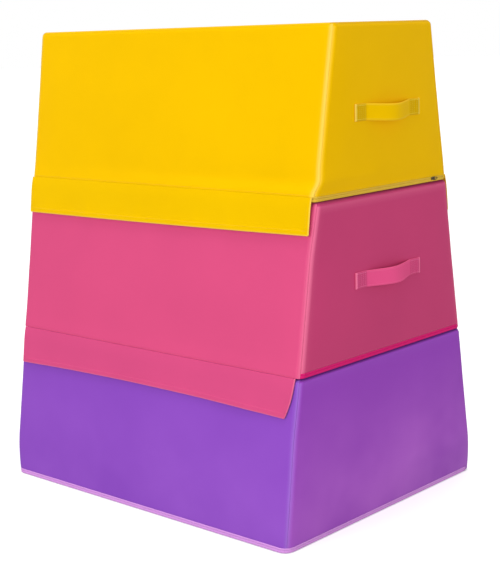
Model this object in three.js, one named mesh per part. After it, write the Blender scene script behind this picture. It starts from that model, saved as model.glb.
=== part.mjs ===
// A gymnastics vaulting box: three foam sections in zipped covers, stacked one on the other.
// Flaps along the long sides lap over the section below and hold it with hook-and-loop strips.
// The two upper sections have webbing handles on their ends.
// Millimetres, +Z up, origin on the floor under the middle, the long front side faces -Y.
import * as THREE from 'three';

// The whole box: its ends are plumb and its long sides lean in towards the top.
const LENGTH = 750;
const BASE_WIDTH = 586;
const TOP_WIDTH = 310;
const SECTION_HEIGHT = 300;

// Clear gap between pieces that touch.
const PIECE_GAP = 0.3;

// The covers: coated fabric, pulled tight over the rounded edges of the foam.
const COVER_THICKNESS = 1;
const CORNER_RADIUS = 12;
const CROWN_RADIUS = 9;
const FOOT_RADIUS = 2.4;

// The floor section sits heavier: its foot draws in and its upright corners round off towards the floor.
const SETTLE_HEIGHT = 90;
const SETTLE_DRAW_IN = 4;
const FLOOR_CORNER_RADIUS = 20;

// The zip band above each foot: a lower tape on the base panel and an upper tape on the walls.
// It runs from one back corner round the ends and the front to the other, and stops before each.
const TAPE_HEIGHT = 2.9;
const TEETH_GAP = 0.6;

// The zip slider, a flat shield that bridges the teeth.
const SLIDER_LENGTH = 10;
const SLIDER_HEIGHT = 7;
const SLIDER_THICKNESS = 2.4;
const SLIDER_WAIST = 4.6;
const SLIDER_BEVEL = 0.5;
const SLIDER_PARK = 25;
const FLOOR_SLIDER_PARK = 45;
const TOP_SLIDER_PARK = 48;

// Flaps, sewn on along their upper edge. They start a setback in from the box's ends,
// and their own ends slant in further towards the hem.
// Their drop differs between the left end, the middle and the right end.
const FLAP_THICKNESS = 1.2;
const FLAP_RISE = 26;
const HEM_HEIGHT = 9;
const HEM_EXTRA = 0.6;
const FLAP_RIPPLE = 1.2;
const RIPPLE_LENGTH = 185;
const TOP_FLAP_SEAM = 8.4;
const TOP_FLAP_END_SETBACK = 5;
const TOP_FLAP_LEFT_SLANT = 2;
const TOP_FLAP_RIGHT_SLANT = 2;
const TOP_FLAP_LEFT_DROP = 71;
const TOP_FLAP_MIDDLE_DROP = 69;
const TOP_FLAP_RIGHT_DROP = 64;
const MIDDLE_FLAP_SEAM = 0.7;
const MIDDLE_FLAP_END_SETBACK = 10;
const MIDDLE_FLAP_LEFT_SLANT = 2;
const MIDDLE_FLAP_RIGHT_SLANT = 15;
const MIDDLE_FLAP_LEFT_DROP = 70;
const MIDDLE_FLAP_MIDDLE_DROP = 63;
const MIDDLE_FLAP_RIGHT_DROP = 69;

// On the front the wall of an upper section runs on down over the zip band to the flap's seam.
const GUARD_RISE = 14;

// Hook strips inside the flaps and loop strips on the sections below.
const STRIP_END_SETBACK = 25;
const STRIP_HEIGHT = 25;
const STRIP_THICKNESS = 0.8;
const STRIP_DROP = 28;

// Webbing handles: two sewn tabs with a free bow between them.
const WEBBING_WIDTH = 30;
const WEBBING_THICKNESS = 2;
const TAB_LENGTH = 33;
const BOW_LENGTH = 130;
const BOW_RISE = 26;
const GRIP_LENGTH = 72;
const TOP_HANDLE_HEIGHT = 143.5;
const TOP_HANDLE_SHIFT = 10.5;
const MIDDLE_HANDLE_HEIGHT = 150.5;
const MIDDLE_HANDLE_SHIFT = 2.5;

// Counts of steps along curves.
const TAB_STEPS = 7;
const GRIP_STEPS = 12;
const RIPPLE_STEPS = 16;

const QUARTER = Math.PI / 2;
const FACES = ['front', 'right', 'back', 'left'];

const COLOURS = {
  yellow: 0xf5c400,
  pink: 0xdd5585,
  purple: 0x8f58c6,
  cream: 0xcdb450,
  hotPink: 0xc81e6e,
  lilac: 0xcc9bd2,
  foam: 0xe9e2c8,
  strip: 0xe4e4e2,
  slider: 0x3c3a38,
};

const MIDDLE_FLAP = {
  seam: MIDDLE_FLAP_SEAM,
  length: LENGTH - 2 * MIDDLE_FLAP_END_SETBACK,
  slants: [MIDDLE_FLAP_LEFT_SLANT, MIDDLE_FLAP_RIGHT_SLANT],
  drops: [MIDDLE_FLAP_LEFT_DROP, MIDDLE_FLAP_MIDDLE_DROP, MIDDLE_FLAP_RIGHT_DROP],
};
const TOP_FLAP = {
  seam: TOP_FLAP_SEAM,
  length: LENGTH - 2 * TOP_FLAP_END_SETBACK,
  slants: [TOP_FLAP_LEFT_SLANT, TOP_FLAP_RIGHT_SLANT],
  drops: [TOP_FLAP_LEFT_DROP, TOP_FLAP_MIDDLE_DROP, TOP_FLAP_RIGHT_DROP],
};

const SECTIONS = [
  {
    name: 'bottom',
    cover: COLOURS.purple,
    tape: COLOURS.lilac,
    settles: true,
    sliderSide: -1,
    sliderPark: FLOOR_SLIDER_PARK,
  },
  {
    name: 'middle',
    cover: COLOURS.pink,
    tape: COLOURS.hotPink,
    settles: false,
    sliderSide: -1,
    sliderPark: SLIDER_PARK,
    flap: MIDDLE_FLAP,
    handleHeight: MIDDLE_HANDLE_HEIGHT,
    handleShift: MIDDLE_HANDLE_SHIFT,
  },
  {
    name: 'top',
    cover: COLOURS.yellow,
    tape: COLOURS.cream,
    settles: false,
    sliderSide: 1,
    sliderPark: TOP_SLIDER_PARK,
    flap: TOP_FLAP,
    handleHeight: TOP_HANDLE_HEIGHT,
    handleShift: TOP_HANDLE_SHIFT,
  },
];
SECTIONS.forEach((section, order) => {
  section.floor = order * (SECTION_HEIGHT + PIECE_GAP);
});

const BOX_HEIGHT = SECTIONS.length * (SECTION_HEIGHT + PIECE_GAP) - PIECE_GAP;
const SIDE_SLOPE = (BASE_WIDTH - TOP_WIDTH) / 2 / BOX_HEIGHT;
const SIDE_LEAN = Math.atan(SIDE_SLOPE);

// Heights above a section's underside where the zip band's pieces begin and end.
const LOWER_TAPE = [FOOT_RADIUS + PIECE_GAP, FOOT_RADIUS + PIECE_GAP + TAPE_HEIGHT];
const UPPER_TAPE = [LOWER_TAPE[1] + TEETH_GAP, LOWER_TAPE[1] + TEETH_GAP + TAPE_HEIGHT];
const WALL_START = UPPER_TAPE[1] + PIECE_GAP;
const BAND_MIDDLE = LOWER_TAPE[1] + TEETH_GAP / 2;

const CORE_DEPTH = COVER_THICKNESS + PIECE_GAP;
const GUARD_LIFT = COVER_THICKNESS + PIECE_GAP;
const CORNER_SEAM = PIECE_GAP / 2 / CORNER_RADIUS;
const CROWN_SEAM = PIECE_GAP / 2 / CROWN_RADIUS;

function halfWidthAt(z) {
  return BASE_WIDTH / 2 - SIDE_SLOPE * z;
}

function mesh(name, geometry, colour, roughness, metalness = 0) {
  const material = new THREE.MeshStandardMaterial({ color: colour, roughness, metalness });
  const made = new THREE.Mesh(geometry, material);
  made.name = name;
  return made;
}

// Coated fabric, webbing, tapes and foam each have their own sheen.
const coated = (name, geometry, colour) => mesh(name, geometry, colour, 0.38);
const webbing = (name, geometry, colour) => mesh(name, geometry, colour, 0.7);
const woven = (name, geometry, colour) => mesh(name, geometry, colour, 0.8);
const foam = (name, geometry) => mesh(name, geometry, COLOURS.foam, 0.95);
const zincPlated = (name, geometry) => mesh(name, geometry, COLOURS.slider, 0.35, 0.9);

// The upright columns of a section's outline seen from above, anticlockwise from the front face.
// Each belongs to one face, and a corner's seam runs between its two middle columns.
// band tells what lies at the zip's height between a column and the next one.
function planColumns(section) {
  const halfLength = LENGTH / 2 - CORNER_RADIUS;
  const halfWidth = halfWidthAt(section.floor + SECTION_HEIGHT / 2) - CORNER_RADIUS;
  const corners = [[1, -1], [1, 1], [-1, 1], [-1, -1]];
  const reach = FLOOR_CORNER_RADIUS - CORNER_RADIUS;
  const run = section.settles ? [reach, reach / 2] : [];
  const columns = [];
  corners.forEach(([signX, signY], corner) => {
    const start = (corner - 1) * QUARTER;
    const centre = new THREE.Vector2(signX * halfLength, signY * halfWidth);
    const column = (angle, slide, face, band) => {
      const normal = new THREE.Vector2(Math.cos(angle), Math.sin(angle));
      const along = new THREE.Vector2(-Math.sin(angle), Math.cos(angle));
      columns.push({ centre: centre.clone().addScaledVector(along, slide), normal, face, band });
    };
    const end = start + QUARTER;
    const before = FACES[corner];
    const after = FACES[(corner + 1) % FACES.length];
    const zipEnds = after === 'back';
    const zipStarts = before === 'back';
    const band = zipEnds || zipStarts ? 'panel' : 'zip';
    if (zipEnds) column(start, -(run[0] ?? 0) - PIECE_GAP, before, 'gap');
    run.forEach((slide) => column(start, -slide, before, band));
    const beforeTurns = [0, QUARTER / 4, QUARTER / 2 - CORNER_SEAM];
    beforeTurns.forEach((turn) => column(start + turn, 0, before, band));
    const afterTurns = [QUARTER / 2 + CORNER_SEAM, (QUARTER * 3) / 4, QUARTER];
    afterTurns.forEach((turn) => column(start + turn, 0, after, band));
    [...run].reverse().forEach((slide) => column(end, slide, after, band));
    if (!zipStarts) return;
    columns.at(-1).band = 'gap';
    column(end, (run[0] ?? 0) + PIECE_GAP, after, 'zip');
  });
  return columns;
}

// A row of the section's skin: how far it lies in from the upright wall, and how high.
// Each takes the depth under the skin.
const footRow = (turn) => (depth) => ({
  inset: FOOT_RADIUS - (FOOT_RADIUS - depth) * Math.cos(turn),
  height: FOOT_RADIUS - (FOOT_RADIUS - depth) * Math.sin(turn),
});
const wallRow = (height) => (depth) => ({ inset: depth, height });
const guardRow = (frontHeight, backHeight) => (depth, face) => {
  if (face !== 'front') return { inset: depth, height: backHeight };
  return { inset: depth - GUARD_LIFT, height: frontHeight };
};
const crownRow = (turn) => (depth) => ({
  inset: CROWN_RADIUS - (CROWN_RADIUS - depth) * Math.cos(turn),
  height: SECTION_HEIGHT - CROWN_RADIUS + (CROWN_RADIUS - depth) * Math.sin(turn),
});

const FOOT_ROWS = [QUARTER, QUARTER / 2, 0].map(footRow);
const CROWN_EDGE_ROWS = [0, QUARTER / 4].map(crownRow);
const CROWN_TOP_ROWS = [(QUARTER * 3) / 4, QUARTER].map(crownRow);

// Rows through the height where the floor section draws in, above a starting height.
function settleRows(section, from) {
  const heights = [WALL_START, SETTLE_HEIGHT / 3, (SETTLE_HEIGHT * 2) / 3, SETTLE_HEIGHT];
  return section.settles ? heights.filter((height) => height > from).map(wallRow) : [];
}

function settleShare(section, height) {
  return section.settles ? Math.max(0, 1 - height / SETTLE_HEIGHT) ** 2 : 0;
}

// How far a square corner with a small rounding reaches from the centre of the large floor rounding.
function cornerReach(turn) {
  const offset = FLOOR_CORNER_RADIUS - CORNER_RADIUS;
  const cos = Math.cos(turn);
  const sin = Math.sin(turn);
  const flat = FLOOR_CORNER_RADIUS / Math.max(cos, sin);
  if (flat * Math.min(cos, sin) <= offset) return flat;
  return offset * (cos + sin) + Math.sqrt(CORNER_RADIUS ** 2 - offset ** 2 * (1 - 2 * cos * sin));
}

// Rounds the floor section's upright corners off towards the floor.
function roundedOff(section, point, share) {
  const centreX = LENGTH / 2 - FLOOR_CORNER_RADIUS;
  const centreY = halfWidthAt(section.floor + SECTION_HEIGHT / 2) - FLOOR_CORNER_RADIUS;
  const x = Math.abs(point.x) - centreX;
  const y = Math.abs(point.y) - centreY;
  if (x <= 0 || y <= 0) return point;
  const shrink = 1 + share * (FLOOR_CORNER_RADIUS / cornerReach(Math.atan2(y, x)) - 1);
  point.x = Math.sign(point.x) * (centreX + x * shrink);
  point.y = Math.sign(point.y) * (centreY + y * shrink);
  return point;
}

// One point of a section's skin, in the box's own frame.
function skinPoint(section, column, row, depth) {
  const { inset, height } = row(depth, column.face);
  const point = column.centre.clone().addScaledVector(column.normal, CORNER_RADIUS - inset);
  const share = settleShare(section, height);
  roundedOff(section, point, share);
  const middleHalfWidth = halfWidthAt(section.floor + SECTION_HEIGHT / 2);
  const drawIn = share * SETTLE_DRAW_IN;
  const z = section.floor + height;
  const x = point.x * (1 - drawIn / (LENGTH / 2));
  const y = (point.y / middleHalfWidth) * (halfWidthAt(z) - drawIn);
  return new THREE.Vector3(x, y, z);
}

function skinGrid(section, columns, rows, depth) {
  return rows.map((row) => columns.map((column) => skinPoint(section, column, row, depth)));
}

// A closed body from grids of points: an outer skin and, for a sheet, an inner one.
// The two are joined along every open edge, and filled tells which cells the sheet covers.
// A ring's last column meets its first.
function bodyFromGrids({ outer, inner, ring = false, filled = () => true, lowCap = false, highCap = false }) {
  const positions = [];
  const triangles = [];
  const numbers = new Map();
  const lastRow = outer.length - 1;
  const width = outer[0].length;
  const cellColumns = ring ? width : width - 1;

  const add = (point) => positions.push(point.x, point.y, point.z) / 3 - 1;
  const vertex = (grid, row, column) => {
    const key = `${grid === outer} ${row} ${column % width}`;
    if (!numbers.has(key)) numbers.set(key, add(grid[row][column % width]));
    return numbers.get(key);
  };
  const quad = (a, b, c, d) => triangles.push(a, b, c, a, c, d);
  const isFilled = (row, column) => {
    if (row < 0 || row >= lastRow) return false;
    if (!ring && (column < 0 || column >= cellColumns)) return false;
    return filled(row, (column + cellColumns) % cellColumns);
  };
  const rim = (a, b) => {
    quad(vertex(outer, ...b), vertex(outer, ...a), vertex(inner, ...a), vertex(inner, ...b));
  };

  for (let row = 0; row < lastRow; row += 1) {
    for (let column = 0; column < cellColumns; column += 1) {
      if (!isFilled(row, column)) continue;
      const corners = [[row, column], [row, column + 1], [row + 1, column + 1], [row + 1, column]];
      quad(...corners.map((corner) => vertex(outer, ...corner)));
      if (!inner) continue;
      const turned = [corners[2], corners[1], corners[0], corners[3]];
      quad(...turned.map((corner) => vertex(inner, ...corner)));
      const lowest = row === 0 && lowCap;
      const highest = row + 1 === lastRow && highCap;
      if (!isFilled(row - 1, column) && !lowest) rim(corners[0], corners[1]);
      if (!isFilled(row, column + 1)) rim(corners[1], corners[2]);
      if (!isFilled(row + 1, column) && !highest) rim(corners[2], corners[3]);
      if (!isFilled(row, column - 1)) rim(corners[3], corners[0]);
    }
  }

  const cap = (grid, row, upwards) => {
    const centre = new THREE.Vector3();
    grid[row].forEach((point) => centre.addScaledVector(point, 1 / width));
    const middle = add(centre);
    for (let column = 0; column < width; column += 1) {
      const edge = [vertex(grid, row, column), vertex(grid, row, column + 1)];
      triangles.push(middle, ...(upwards ? edge : edge.reverse()));
    }
  };
  if (highCap) cap(outer, lastRow, true);
  if (highCap && inner) cap(inner, lastRow, false);
  if (lowCap) cap(outer, 0, false);
  if (lowCap && inner) cap(inner, 0, true);

  const geometry = new THREE.BufferGeometry();
  geometry.setAttribute('position', new THREE.Float32BufferAttribute(positions, 3));
  geometry.setIndex(triangles);
  geometry.computeVertexNormals();
  return geometry;
}

// A sheet of cover over some rows and faces of a section.
function coverSheet(section, rows, filled, caps = {}) {
  const columns = planColumns(section);
  const covers = (row, column) => {
    const next = (column + 1) % columns.length;
    return filled(row, columns[column].face, columns[next].face, columns[column].band);
  };
  return bodyFromGrids({
    outer: skinGrid(section, columns, rows, 0),
    inner: skinGrid(section, columns, rows, COVER_THICKNESS),
    ring: true,
    filled: covers,
    ...caps,
  });
}

function foamCore(section) {
  const crown = [...CROWN_EDGE_ROWS, crownRow(QUARTER / 2), ...CROWN_TOP_ROWS];
  const rows = [...FOOT_ROWS, ...settleRows(section, 0), ...crown];
  const outer = skinGrid(section, planColumns(section), rows, CORE_DEPTH);
  const block = bodyFromGrids({ outer, ring: true, lowCap: true, highCap: true });
  return foam(`${section.name}_foam_core`, block);
}

// The rows of the wrap's walls. The back wall runs down to the base panel and is sewn to it.
// The front wall ends above the zip band, or on an upper section passes over it to the flap's seam.
function wrapWallRows(section) {
  const backEnd = FOOT_RADIUS + PIECE_GAP;
  if (!section.flap) {
    return [wallRow(backEnd), wallRow(WALL_START), ...settleRows(section, WALL_START)];
  }
  const frontEnd = section.flap.seam + PIECE_GAP;
  const guardTop = wallRow(WALL_START + GUARD_RISE);
  return [guardRow(frontEnd, backEnd), guardRow(WALL_START, WALL_START), guardTop];
}

// The long-side walls and the top in one C-shaped sheet.
function coverWrap(section) {
  const rows = [
    ...wrapWallRows(section),
    ...CROWN_EDGE_ROWS,
    crownRow(QUARTER / 2 - CROWN_SEAM),
    crownRow(QUARTER / 2 + CROWN_SEAM),
    ...CROWN_TOP_ROWS,
  ];
  const crownStart = rows.length - 1 - CROWN_TOP_ROWS.length;
  const frontStart = section.flap ? 0 : 1;
  const filled = (row, face, nextFace) => {
    if (row >= crownStart) return true;
    if (face !== nextFace) return false;
    return face === 'back' || (face === 'front' && row >= frontStart);
  };
  const sheet = coverSheet(section, rows, filled, { highCap: true });
  return coated(`${section.name}_cover_wrap`, sheet, section.cover);
}

// An end panel stops above the zip band, and past the zip's end it runs down to the base panel.
function endPanel(section, face) {
  const rows = [
    wallRow(FOOT_RADIUS + PIECE_GAP),
    wallRow(WALL_START),
    ...settleRows(section, WALL_START),
    ...CROWN_EDGE_ROWS,
    crownRow(QUARTER / 2 - CROWN_SEAM),
  ];
  const filled = (row, one, next, band) => {
    if (one !== face || next !== face) return false;
    return row > 0 || band === 'panel';
  };
  return coated(`${section.name}_end_panel_${face}`, coverSheet(section, rows, filled), section.cover);
}

function basePanel(section) {
  const sheet = coverSheet(section, FOOT_ROWS, () => true, { lowCap: true });
  return coated(`${section.name}_base_panel`, sheet, section.cover);
}

function zipTape(section, label, [low, high]) {
  const filled = (row, one, next, band) => one !== 'back' && band === 'zip';
  const sheet = coverSheet(section, [wallRow(low), wallRow(high)], filled);
  return woven(`${section.name}_zip_tape_${label}`, sheet, section.tape);
}

// The slider lies flat on the band of one end and slides along it, away from the back corner.
function zipSlider(section) {
  const halfLength = SLIDER_LENGTH / 2 - SLIDER_BEVEL;
  const halfHeight = SLIDER_HEIGHT / 2 - SLIDER_BEVEL;
  const halfWaist = SLIDER_WAIST / 2 - SLIDER_BEVEL;
  const outline = new THREE.Shape();
  outline.moveTo(-halfLength, -halfHeight);
  outline.lineTo(halfLength, -halfWaist);
  outline.lineTo(halfLength, halfWaist);
  outline.lineTo(-halfLength, halfHeight);
  outline.lineTo(-halfLength / 2, 0);
  const shield = new THREE.ExtrudeGeometry(outline, {
    depth: SLIDER_THICKNESS - 2 * SLIDER_BEVEL,
    bevelThickness: SLIDER_BEVEL,
    bevelSize: SLIDER_BEVEL,
    bevelSegments: 1,
  });
  shield.translate(0, 0, SLIDER_BEVEL);
  shield.rotateX(QUARTER);
  const slider = zincPlated(`${section.name}_zip_slider`, shield);
  const bandTop = UPPER_TAPE[1];
  const face = LENGTH / 2 - settleShare(section, bandTop) * SETTLE_DRAW_IN;
  const side = section.sliderSide;
  slider.position.set(
    side * (face + PIECE_GAP),
    halfWidthAt(section.floor + bandTop) - section.sliderPark,
    section.floor + BAND_MIDDLE,
  );
  slider.rotation.z = side * QUARTER;
  return slider;
}

// A frame on a long side at a given height: x along the side, -y out of it, -z down the slope.
function sideFrame(height, back) {
  const frame = new THREE.Group();
  frame.position.set(0, -halfWidthAt(height), height);
  frame.rotation.x = -SIDE_LEAN;
  const side = new THREE.Group();
  side.rotation.z = back ? Math.PI : 0;
  side.add(frame);
  return { side, frame };
}

// How far out of the side the pieces under a flap lie, and the flap itself where it passes over them.
const LOOP_STANDOFF = PIECE_GAP;
const HOOK_STANDOFF = LOOP_STANDOFF + STRIP_THICKNESS + PIECE_GAP;
const FLAP_STANDOFF = HOOK_STANDOFF + STRIP_THICKNESS + PIECE_GAP;

// A flap rises from its seam over the strips, ripples a little, and ends in a thicker hem.
function flapGeometry({ length, slants, drops }) {
  const hem = FLAP_THICKNESS + HEM_EXTRA;
  const lines = [
    { fall: (drop) => drop, standoff: FLAP_STANDOFF, thickness: hem, loose: 1 },
    { fall: (drop) => drop - HEM_HEIGHT, standoff: FLAP_STANDOFF, thickness: hem, loose: 1 },
    { fall: () => FLAP_RISE, standoff: FLAP_STANDOFF, thickness: FLAP_THICKNESS, loose: 0 },
    { fall: () => 0, standoff: PIECE_GAP, thickness: FLAP_THICKNESS, loose: 0 },
  ];
  const [leftDrop, middleDrop, rightDrop] = drops;
  const dropAt = (share) => {
    const turn = 2 * share - 1;
    const bow = (leftDrop + rightDrop) / 2 - middleDrop;
    return middleDrop + ((rightDrop - leftDrop) / 2) * turn + bow * turn ** 2;
  };
  const place = (line, share, depth) => {
    const drop = dropAt(share);
    const fallen = line.fall(drop);
    const left = -length / 2 + (slants[0] * fallen) / drop;
    const right = length / 2 - (slants[1] * fallen) / drop;
    const x = left + (right - left) * share;
    const wave = Math.sin((x / RIPPLE_LENGTH) * 2 * Math.PI);
    const ripple = (FLAP_RIPPLE * line.loose * (1 + wave)) / 2;
    return new THREE.Vector3(x, -(line.standoff + ripple + depth), -fallen);
  };
  const grid = (depthOf) =>
    lines.map((line) => stepsBetween(0, 1, RIPPLE_STEPS).map((share) => place(line, share, depthOf(line))));
  return bodyFromGrids({ outer: grid((line) => line.thickness), inner: grid(() => 0) });
}

function stripGeometry(standoff) {
  const length = LENGTH - 2 * STRIP_END_SETBACK;
  const strip = new THREE.BoxGeometry(length, STRIP_THICKNESS, STRIP_HEIGHT);
  strip.translate(0, -(standoff + STRIP_THICKNESS / 2), -(STRIP_DROP + STRIP_HEIGHT / 2));
  return strip;
}

// A flap with its hook strip on the upper section, and the loop strip that it grips on the section below.
function flapSet(section, below, back) {
  const label = back ? 'back' : 'front';
  const { side, frame } = sideFrame(section.floor + section.flap.seam, back);
  frame.add(coated(`${section.name}_flap_${label}`, flapGeometry(section.flap), section.cover));
  frame.add(woven(`${section.name}_hook_strip_${label}`, stripGeometry(HOOK_STANDOFF), COLOURS.strip));
  frame.add(woven(`${below.name}_loop_strip_${label}`, stripGeometry(LOOP_STANDOFF), COLOURS.strip));
  return side;
}

// How far the webbing's middle line stands out of the end panel: flat under the tabs, bowed between them.
function webbingRise(y) {
  const base = PIECE_GAP + WEBBING_THICKNESS / 2;
  if (Math.abs(y) >= BOW_LENGTH / 2) return { rise: base, slope: 0 };
  const turn = (2 * Math.PI * y) / BOW_LENGTH;
  return {
    rise: base + (BOW_RISE / 2) * (1 + Math.cos(turn)),
    slope: (-BOW_RISE * Math.PI * Math.sin(turn)) / BOW_LENGTH,
  };
}

// A stretch of webbing through the given places along the handle, extruded over the webbing's width.
function webbingGeometry(places) {
  const edge = (sign) =>
    places.map((y) => {
      const { rise, slope } = webbingRise(y);
      return new THREE.Vector2(rise + (sign * WEBBING_THICKNESS * Math.hypot(1, slope)) / 2, y);
    });
  const outline = new THREE.Shape([...edge(1), ...edge(-1).reverse()]);
  const stretch = new THREE.ExtrudeGeometry(outline, { depth: WEBBING_WIDTH, bevelEnabled: false });
  stretch.translate(0, 0, -WEBBING_WIDTH / 2);
  return stretch;
}

function stepsBetween(from, to, steps) {
  return Array.from({ length: steps + 1 }, (_, step) => from + ((to - from) * step) / steps);
}

// A handle: each sewn tab runs on into the root of the bow, and the grip is the middle of the bow.
function handle(section, face) {
  const side = face === 'right' ? 1 : -1;
  const tabEnd = BOW_LENGTH / 2 + TAB_LENGTH;
  const rootEnd = GRIP_LENGTH / 2 + PIECE_GAP;
  const tab = [tabEnd, ...stepsBetween(BOW_LENGTH / 2, rootEnd, TAB_STEPS)];
  const grip = stepsBetween(-GRIP_LENGTH / 2, GRIP_LENGTH / 2, GRIP_STEPS);
  const group = new THREE.Group();
  group.position.set((side * LENGTH) / 2, section.handleShift, section.floor + section.handleHeight);
  group.rotation.z = side > 0 ? 0 : Math.PI;
  const name = `${section.name}_handle_${face}`;
  const frontTab = side > 0 ? tab.map((y) => -y) : tab;
  const backTab = side > 0 ? tab : tab.map((y) => -y);
  group.add(webbing(`${name}_tab_front`, webbingGeometry(frontTab), section.cover));
  group.add(webbing(`${name}_tab_back`, webbingGeometry(backTab), section.cover));
  group.add(webbing(`${name}_grip`, webbingGeometry(grip), section.cover));
  return group;
}

const vaultingBox = new THREE.Group();
SECTIONS.forEach((section, order) => {
  const group = new THREE.Group();
  group.add(foamCore(section), coverWrap(section), basePanel(section));
  group.add(endPanel(section, 'left'), endPanel(section, 'right'));
  group.add(zipTape(section, 'lower', LOWER_TAPE), zipTape(section, 'upper', UPPER_TAPE));
  group.add(zipSlider(section));
  if (order > 0) {
    const below = SECTIONS[order - 1];
    group.add(flapSet(section, below, false), flapSet(section, below, true));
    group.add(handle(section, 'left'), handle(section, 'right'));
  }
  vaultingBox.add(group);
});

export default vaultingBox;
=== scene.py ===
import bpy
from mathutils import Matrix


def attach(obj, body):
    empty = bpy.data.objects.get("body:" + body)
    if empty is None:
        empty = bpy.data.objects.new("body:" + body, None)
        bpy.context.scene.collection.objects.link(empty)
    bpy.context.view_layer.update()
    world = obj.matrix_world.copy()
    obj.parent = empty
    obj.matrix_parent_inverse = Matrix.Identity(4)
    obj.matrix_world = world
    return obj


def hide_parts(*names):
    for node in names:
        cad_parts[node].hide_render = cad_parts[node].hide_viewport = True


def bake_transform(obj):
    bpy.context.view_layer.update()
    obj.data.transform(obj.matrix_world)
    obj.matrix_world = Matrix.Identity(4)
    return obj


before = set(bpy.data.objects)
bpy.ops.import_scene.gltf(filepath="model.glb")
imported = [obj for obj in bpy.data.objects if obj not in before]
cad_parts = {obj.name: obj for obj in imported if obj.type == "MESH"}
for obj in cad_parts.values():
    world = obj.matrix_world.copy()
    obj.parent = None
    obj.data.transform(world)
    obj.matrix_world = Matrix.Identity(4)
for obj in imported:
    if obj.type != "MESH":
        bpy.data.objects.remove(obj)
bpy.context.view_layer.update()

import math

import bmesh
import bpy
import numpy as np
from mathutils import Matrix, Vector, kdtree, noise

scene = bpy.context.scene
scene.view_settings.view_transform = "Standard"

# The view. The eye is just below the height of the box's top, and the box's near right corner is
# towards it, so that a long side shows on the left and an end with its handles on the right.
EYE = Vector((1.7830, -1.9189, 0.8895))
YAW, PITCH, ROLL = -0.7371, -0.1861, -0.0316
FOCAL_PIXELS = 1324.0
PICTURE = (500, 562)
SENSOR_WIDTH = 36
NEAREST, FARTHEST = 0.05, 50

ahead = Vector((math.sin(YAW) * math.cos(PITCH), math.cos(YAW) * math.cos(PITCH), math.sin(PITCH)))
level = Vector((math.cos(YAW), -math.sin(YAW), 0))
above = level.cross(ahead)
to_right = level * math.cos(ROLL) + above * math.sin(ROLL)
to_top = above * math.cos(ROLL) - level * math.sin(ROLL)

camera_data = bpy.data.cameras.new("camera")
camera_data.sensor_width = SENSOR_WIDTH
camera_data.lens = SENSOR_WIDTH * FOCAL_PIXELS / max(PICTURE)
camera_data.clip_start, camera_data.clip_end = NEAREST, FARTHEST
camera = bpy.data.objects.new("camera", camera_data)
turned = Matrix((to_right, to_top, -ahead)).transposed().to_4x4()
camera.matrix_world = Matrix.Translation(EYE) @ turned
scene.collection.objects.link(camera)
scene.camera = camera

# The foam. Each section is one block of soft foam, cut with leaning long sides and rounded edges.
# Pushed into a cover that is sewn a little small, it swells between the seams. The swelling is run
# as cloth under pressure, and the block that comes out of it gives every cover its shape.
LENGTH = 0.750
BASE_HALF_WIDTH, TOP_HALF_WIDTH = 0.293, 0.155
BOX_HEIGHT = 0.9006
SECTION_HEIGHT, SECTION_STEP = 0.300, 0.3003
SIDE_SLOPE = (BASE_HALF_WIDTH - TOP_HALF_WIDTH) / BOX_HEIGHT
CORNER_RADIUS, FLOOR_CORNER_RADIUS = 0.012, 0.020
CROWN_RADIUS, FOOT_RADIUS = 0.009, 0.0024
CROWN_START = SECTION_HEIGHT - CROWN_RADIUS
SIDE_HALF = LENGTH / 2 - CORNER_RADIUS
CORNER_TURNS = [math.radians(angle) for angle in (45, 42.5, 38, 30, 20, 10)]
FACES = {"front": -90, "right": 0, "back": 90, "left": 180}
SETTLE_HEIGHT, SETTLE_DRAW_IN = 0.090, 0.004
FOAM_DEPTH, FOAM_FOOT_DEPTH = 0.0032, 0.00224
FOAM_STEP, FOAM_COLUMN_STEP, FOAM_VOXEL = 0.02, 0.03, 0.013
FOAM_SWELL, FOAM_PRESSURE, FOAM_HELD = 0.0024, 4, 0.012
SWELL_FRAMES, CLOTH_QUALITY = 20, 4
NEIGHBOURS, NEIGHBOUR_REACH = 20, 0.017
TINY = 1e-9

# How far each section's near right edge is out of true, as (height, distance), and how high the
# covers rise into the two joints, because the foam below bulges into the section above.
TWISTS = {
    "bottom": ((0.0, -0.0012), (0.03, -0.0017), (0.20, -0.0028), (0.27, -0.0012)),
    "middle": ((0.30, -0.0009), (0.34, -0.0006), (0.45, 0.0002), (0.51, 0.0006), (0.56, 0.0028),
               (0.60, 0.0046)),
    "top": ((0.618, 0.0), (0.634, 0.0064), (0.66, 0.0052), (0.75, 0.0058), (0.90, 0.0078)),
}
TWIST_HEIGHTS = np.arange(-0.1, 1.3, 0.001)
TWIST_SOFTNESS = np.exp(-((np.arange(-27, 28) / 6) ** 2))
JOINT_RISES, JOINT_REACH = (0.0032, 0.0015), 0.03


def half_width(z):
    return BASE_HALF_WIDTH - SIDE_SLOPE * z


SECTIONS = []
for order, name in enumerate(("bottom", "middle", "top")):
    floor = order * SECTION_STEP
    middle = half_width(floor + SECTION_HEIGHT / 2)
    half = middle - CORNER_RADIUS
    twist = np.interp(TWIST_HEIGHTS, *zip(*TWISTS[name]))
    SECTIONS.append({
        "name": name, "order": order, "body": name + "_section", "floor": floor, "middle": middle,
        "half": half, "settles": name == "bottom",
        "band end": half - (FLOOR_CORNER_RADIUS - CORNER_RADIUS if name == "bottom" else 0),
        "twist": np.convolve(twist, TWIST_SOFTNESS / TWIST_SOFTNESS.sum(), "same"),
    })


def settled(section, height):
    """How much of the floor section's settling acts at a height: 1 at the floor, 0 above it."""
    return np.clip(1 - height / SETTLE_HEIGHT, 0, 1) ** 2 if section["settles"] else height * 0


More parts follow.
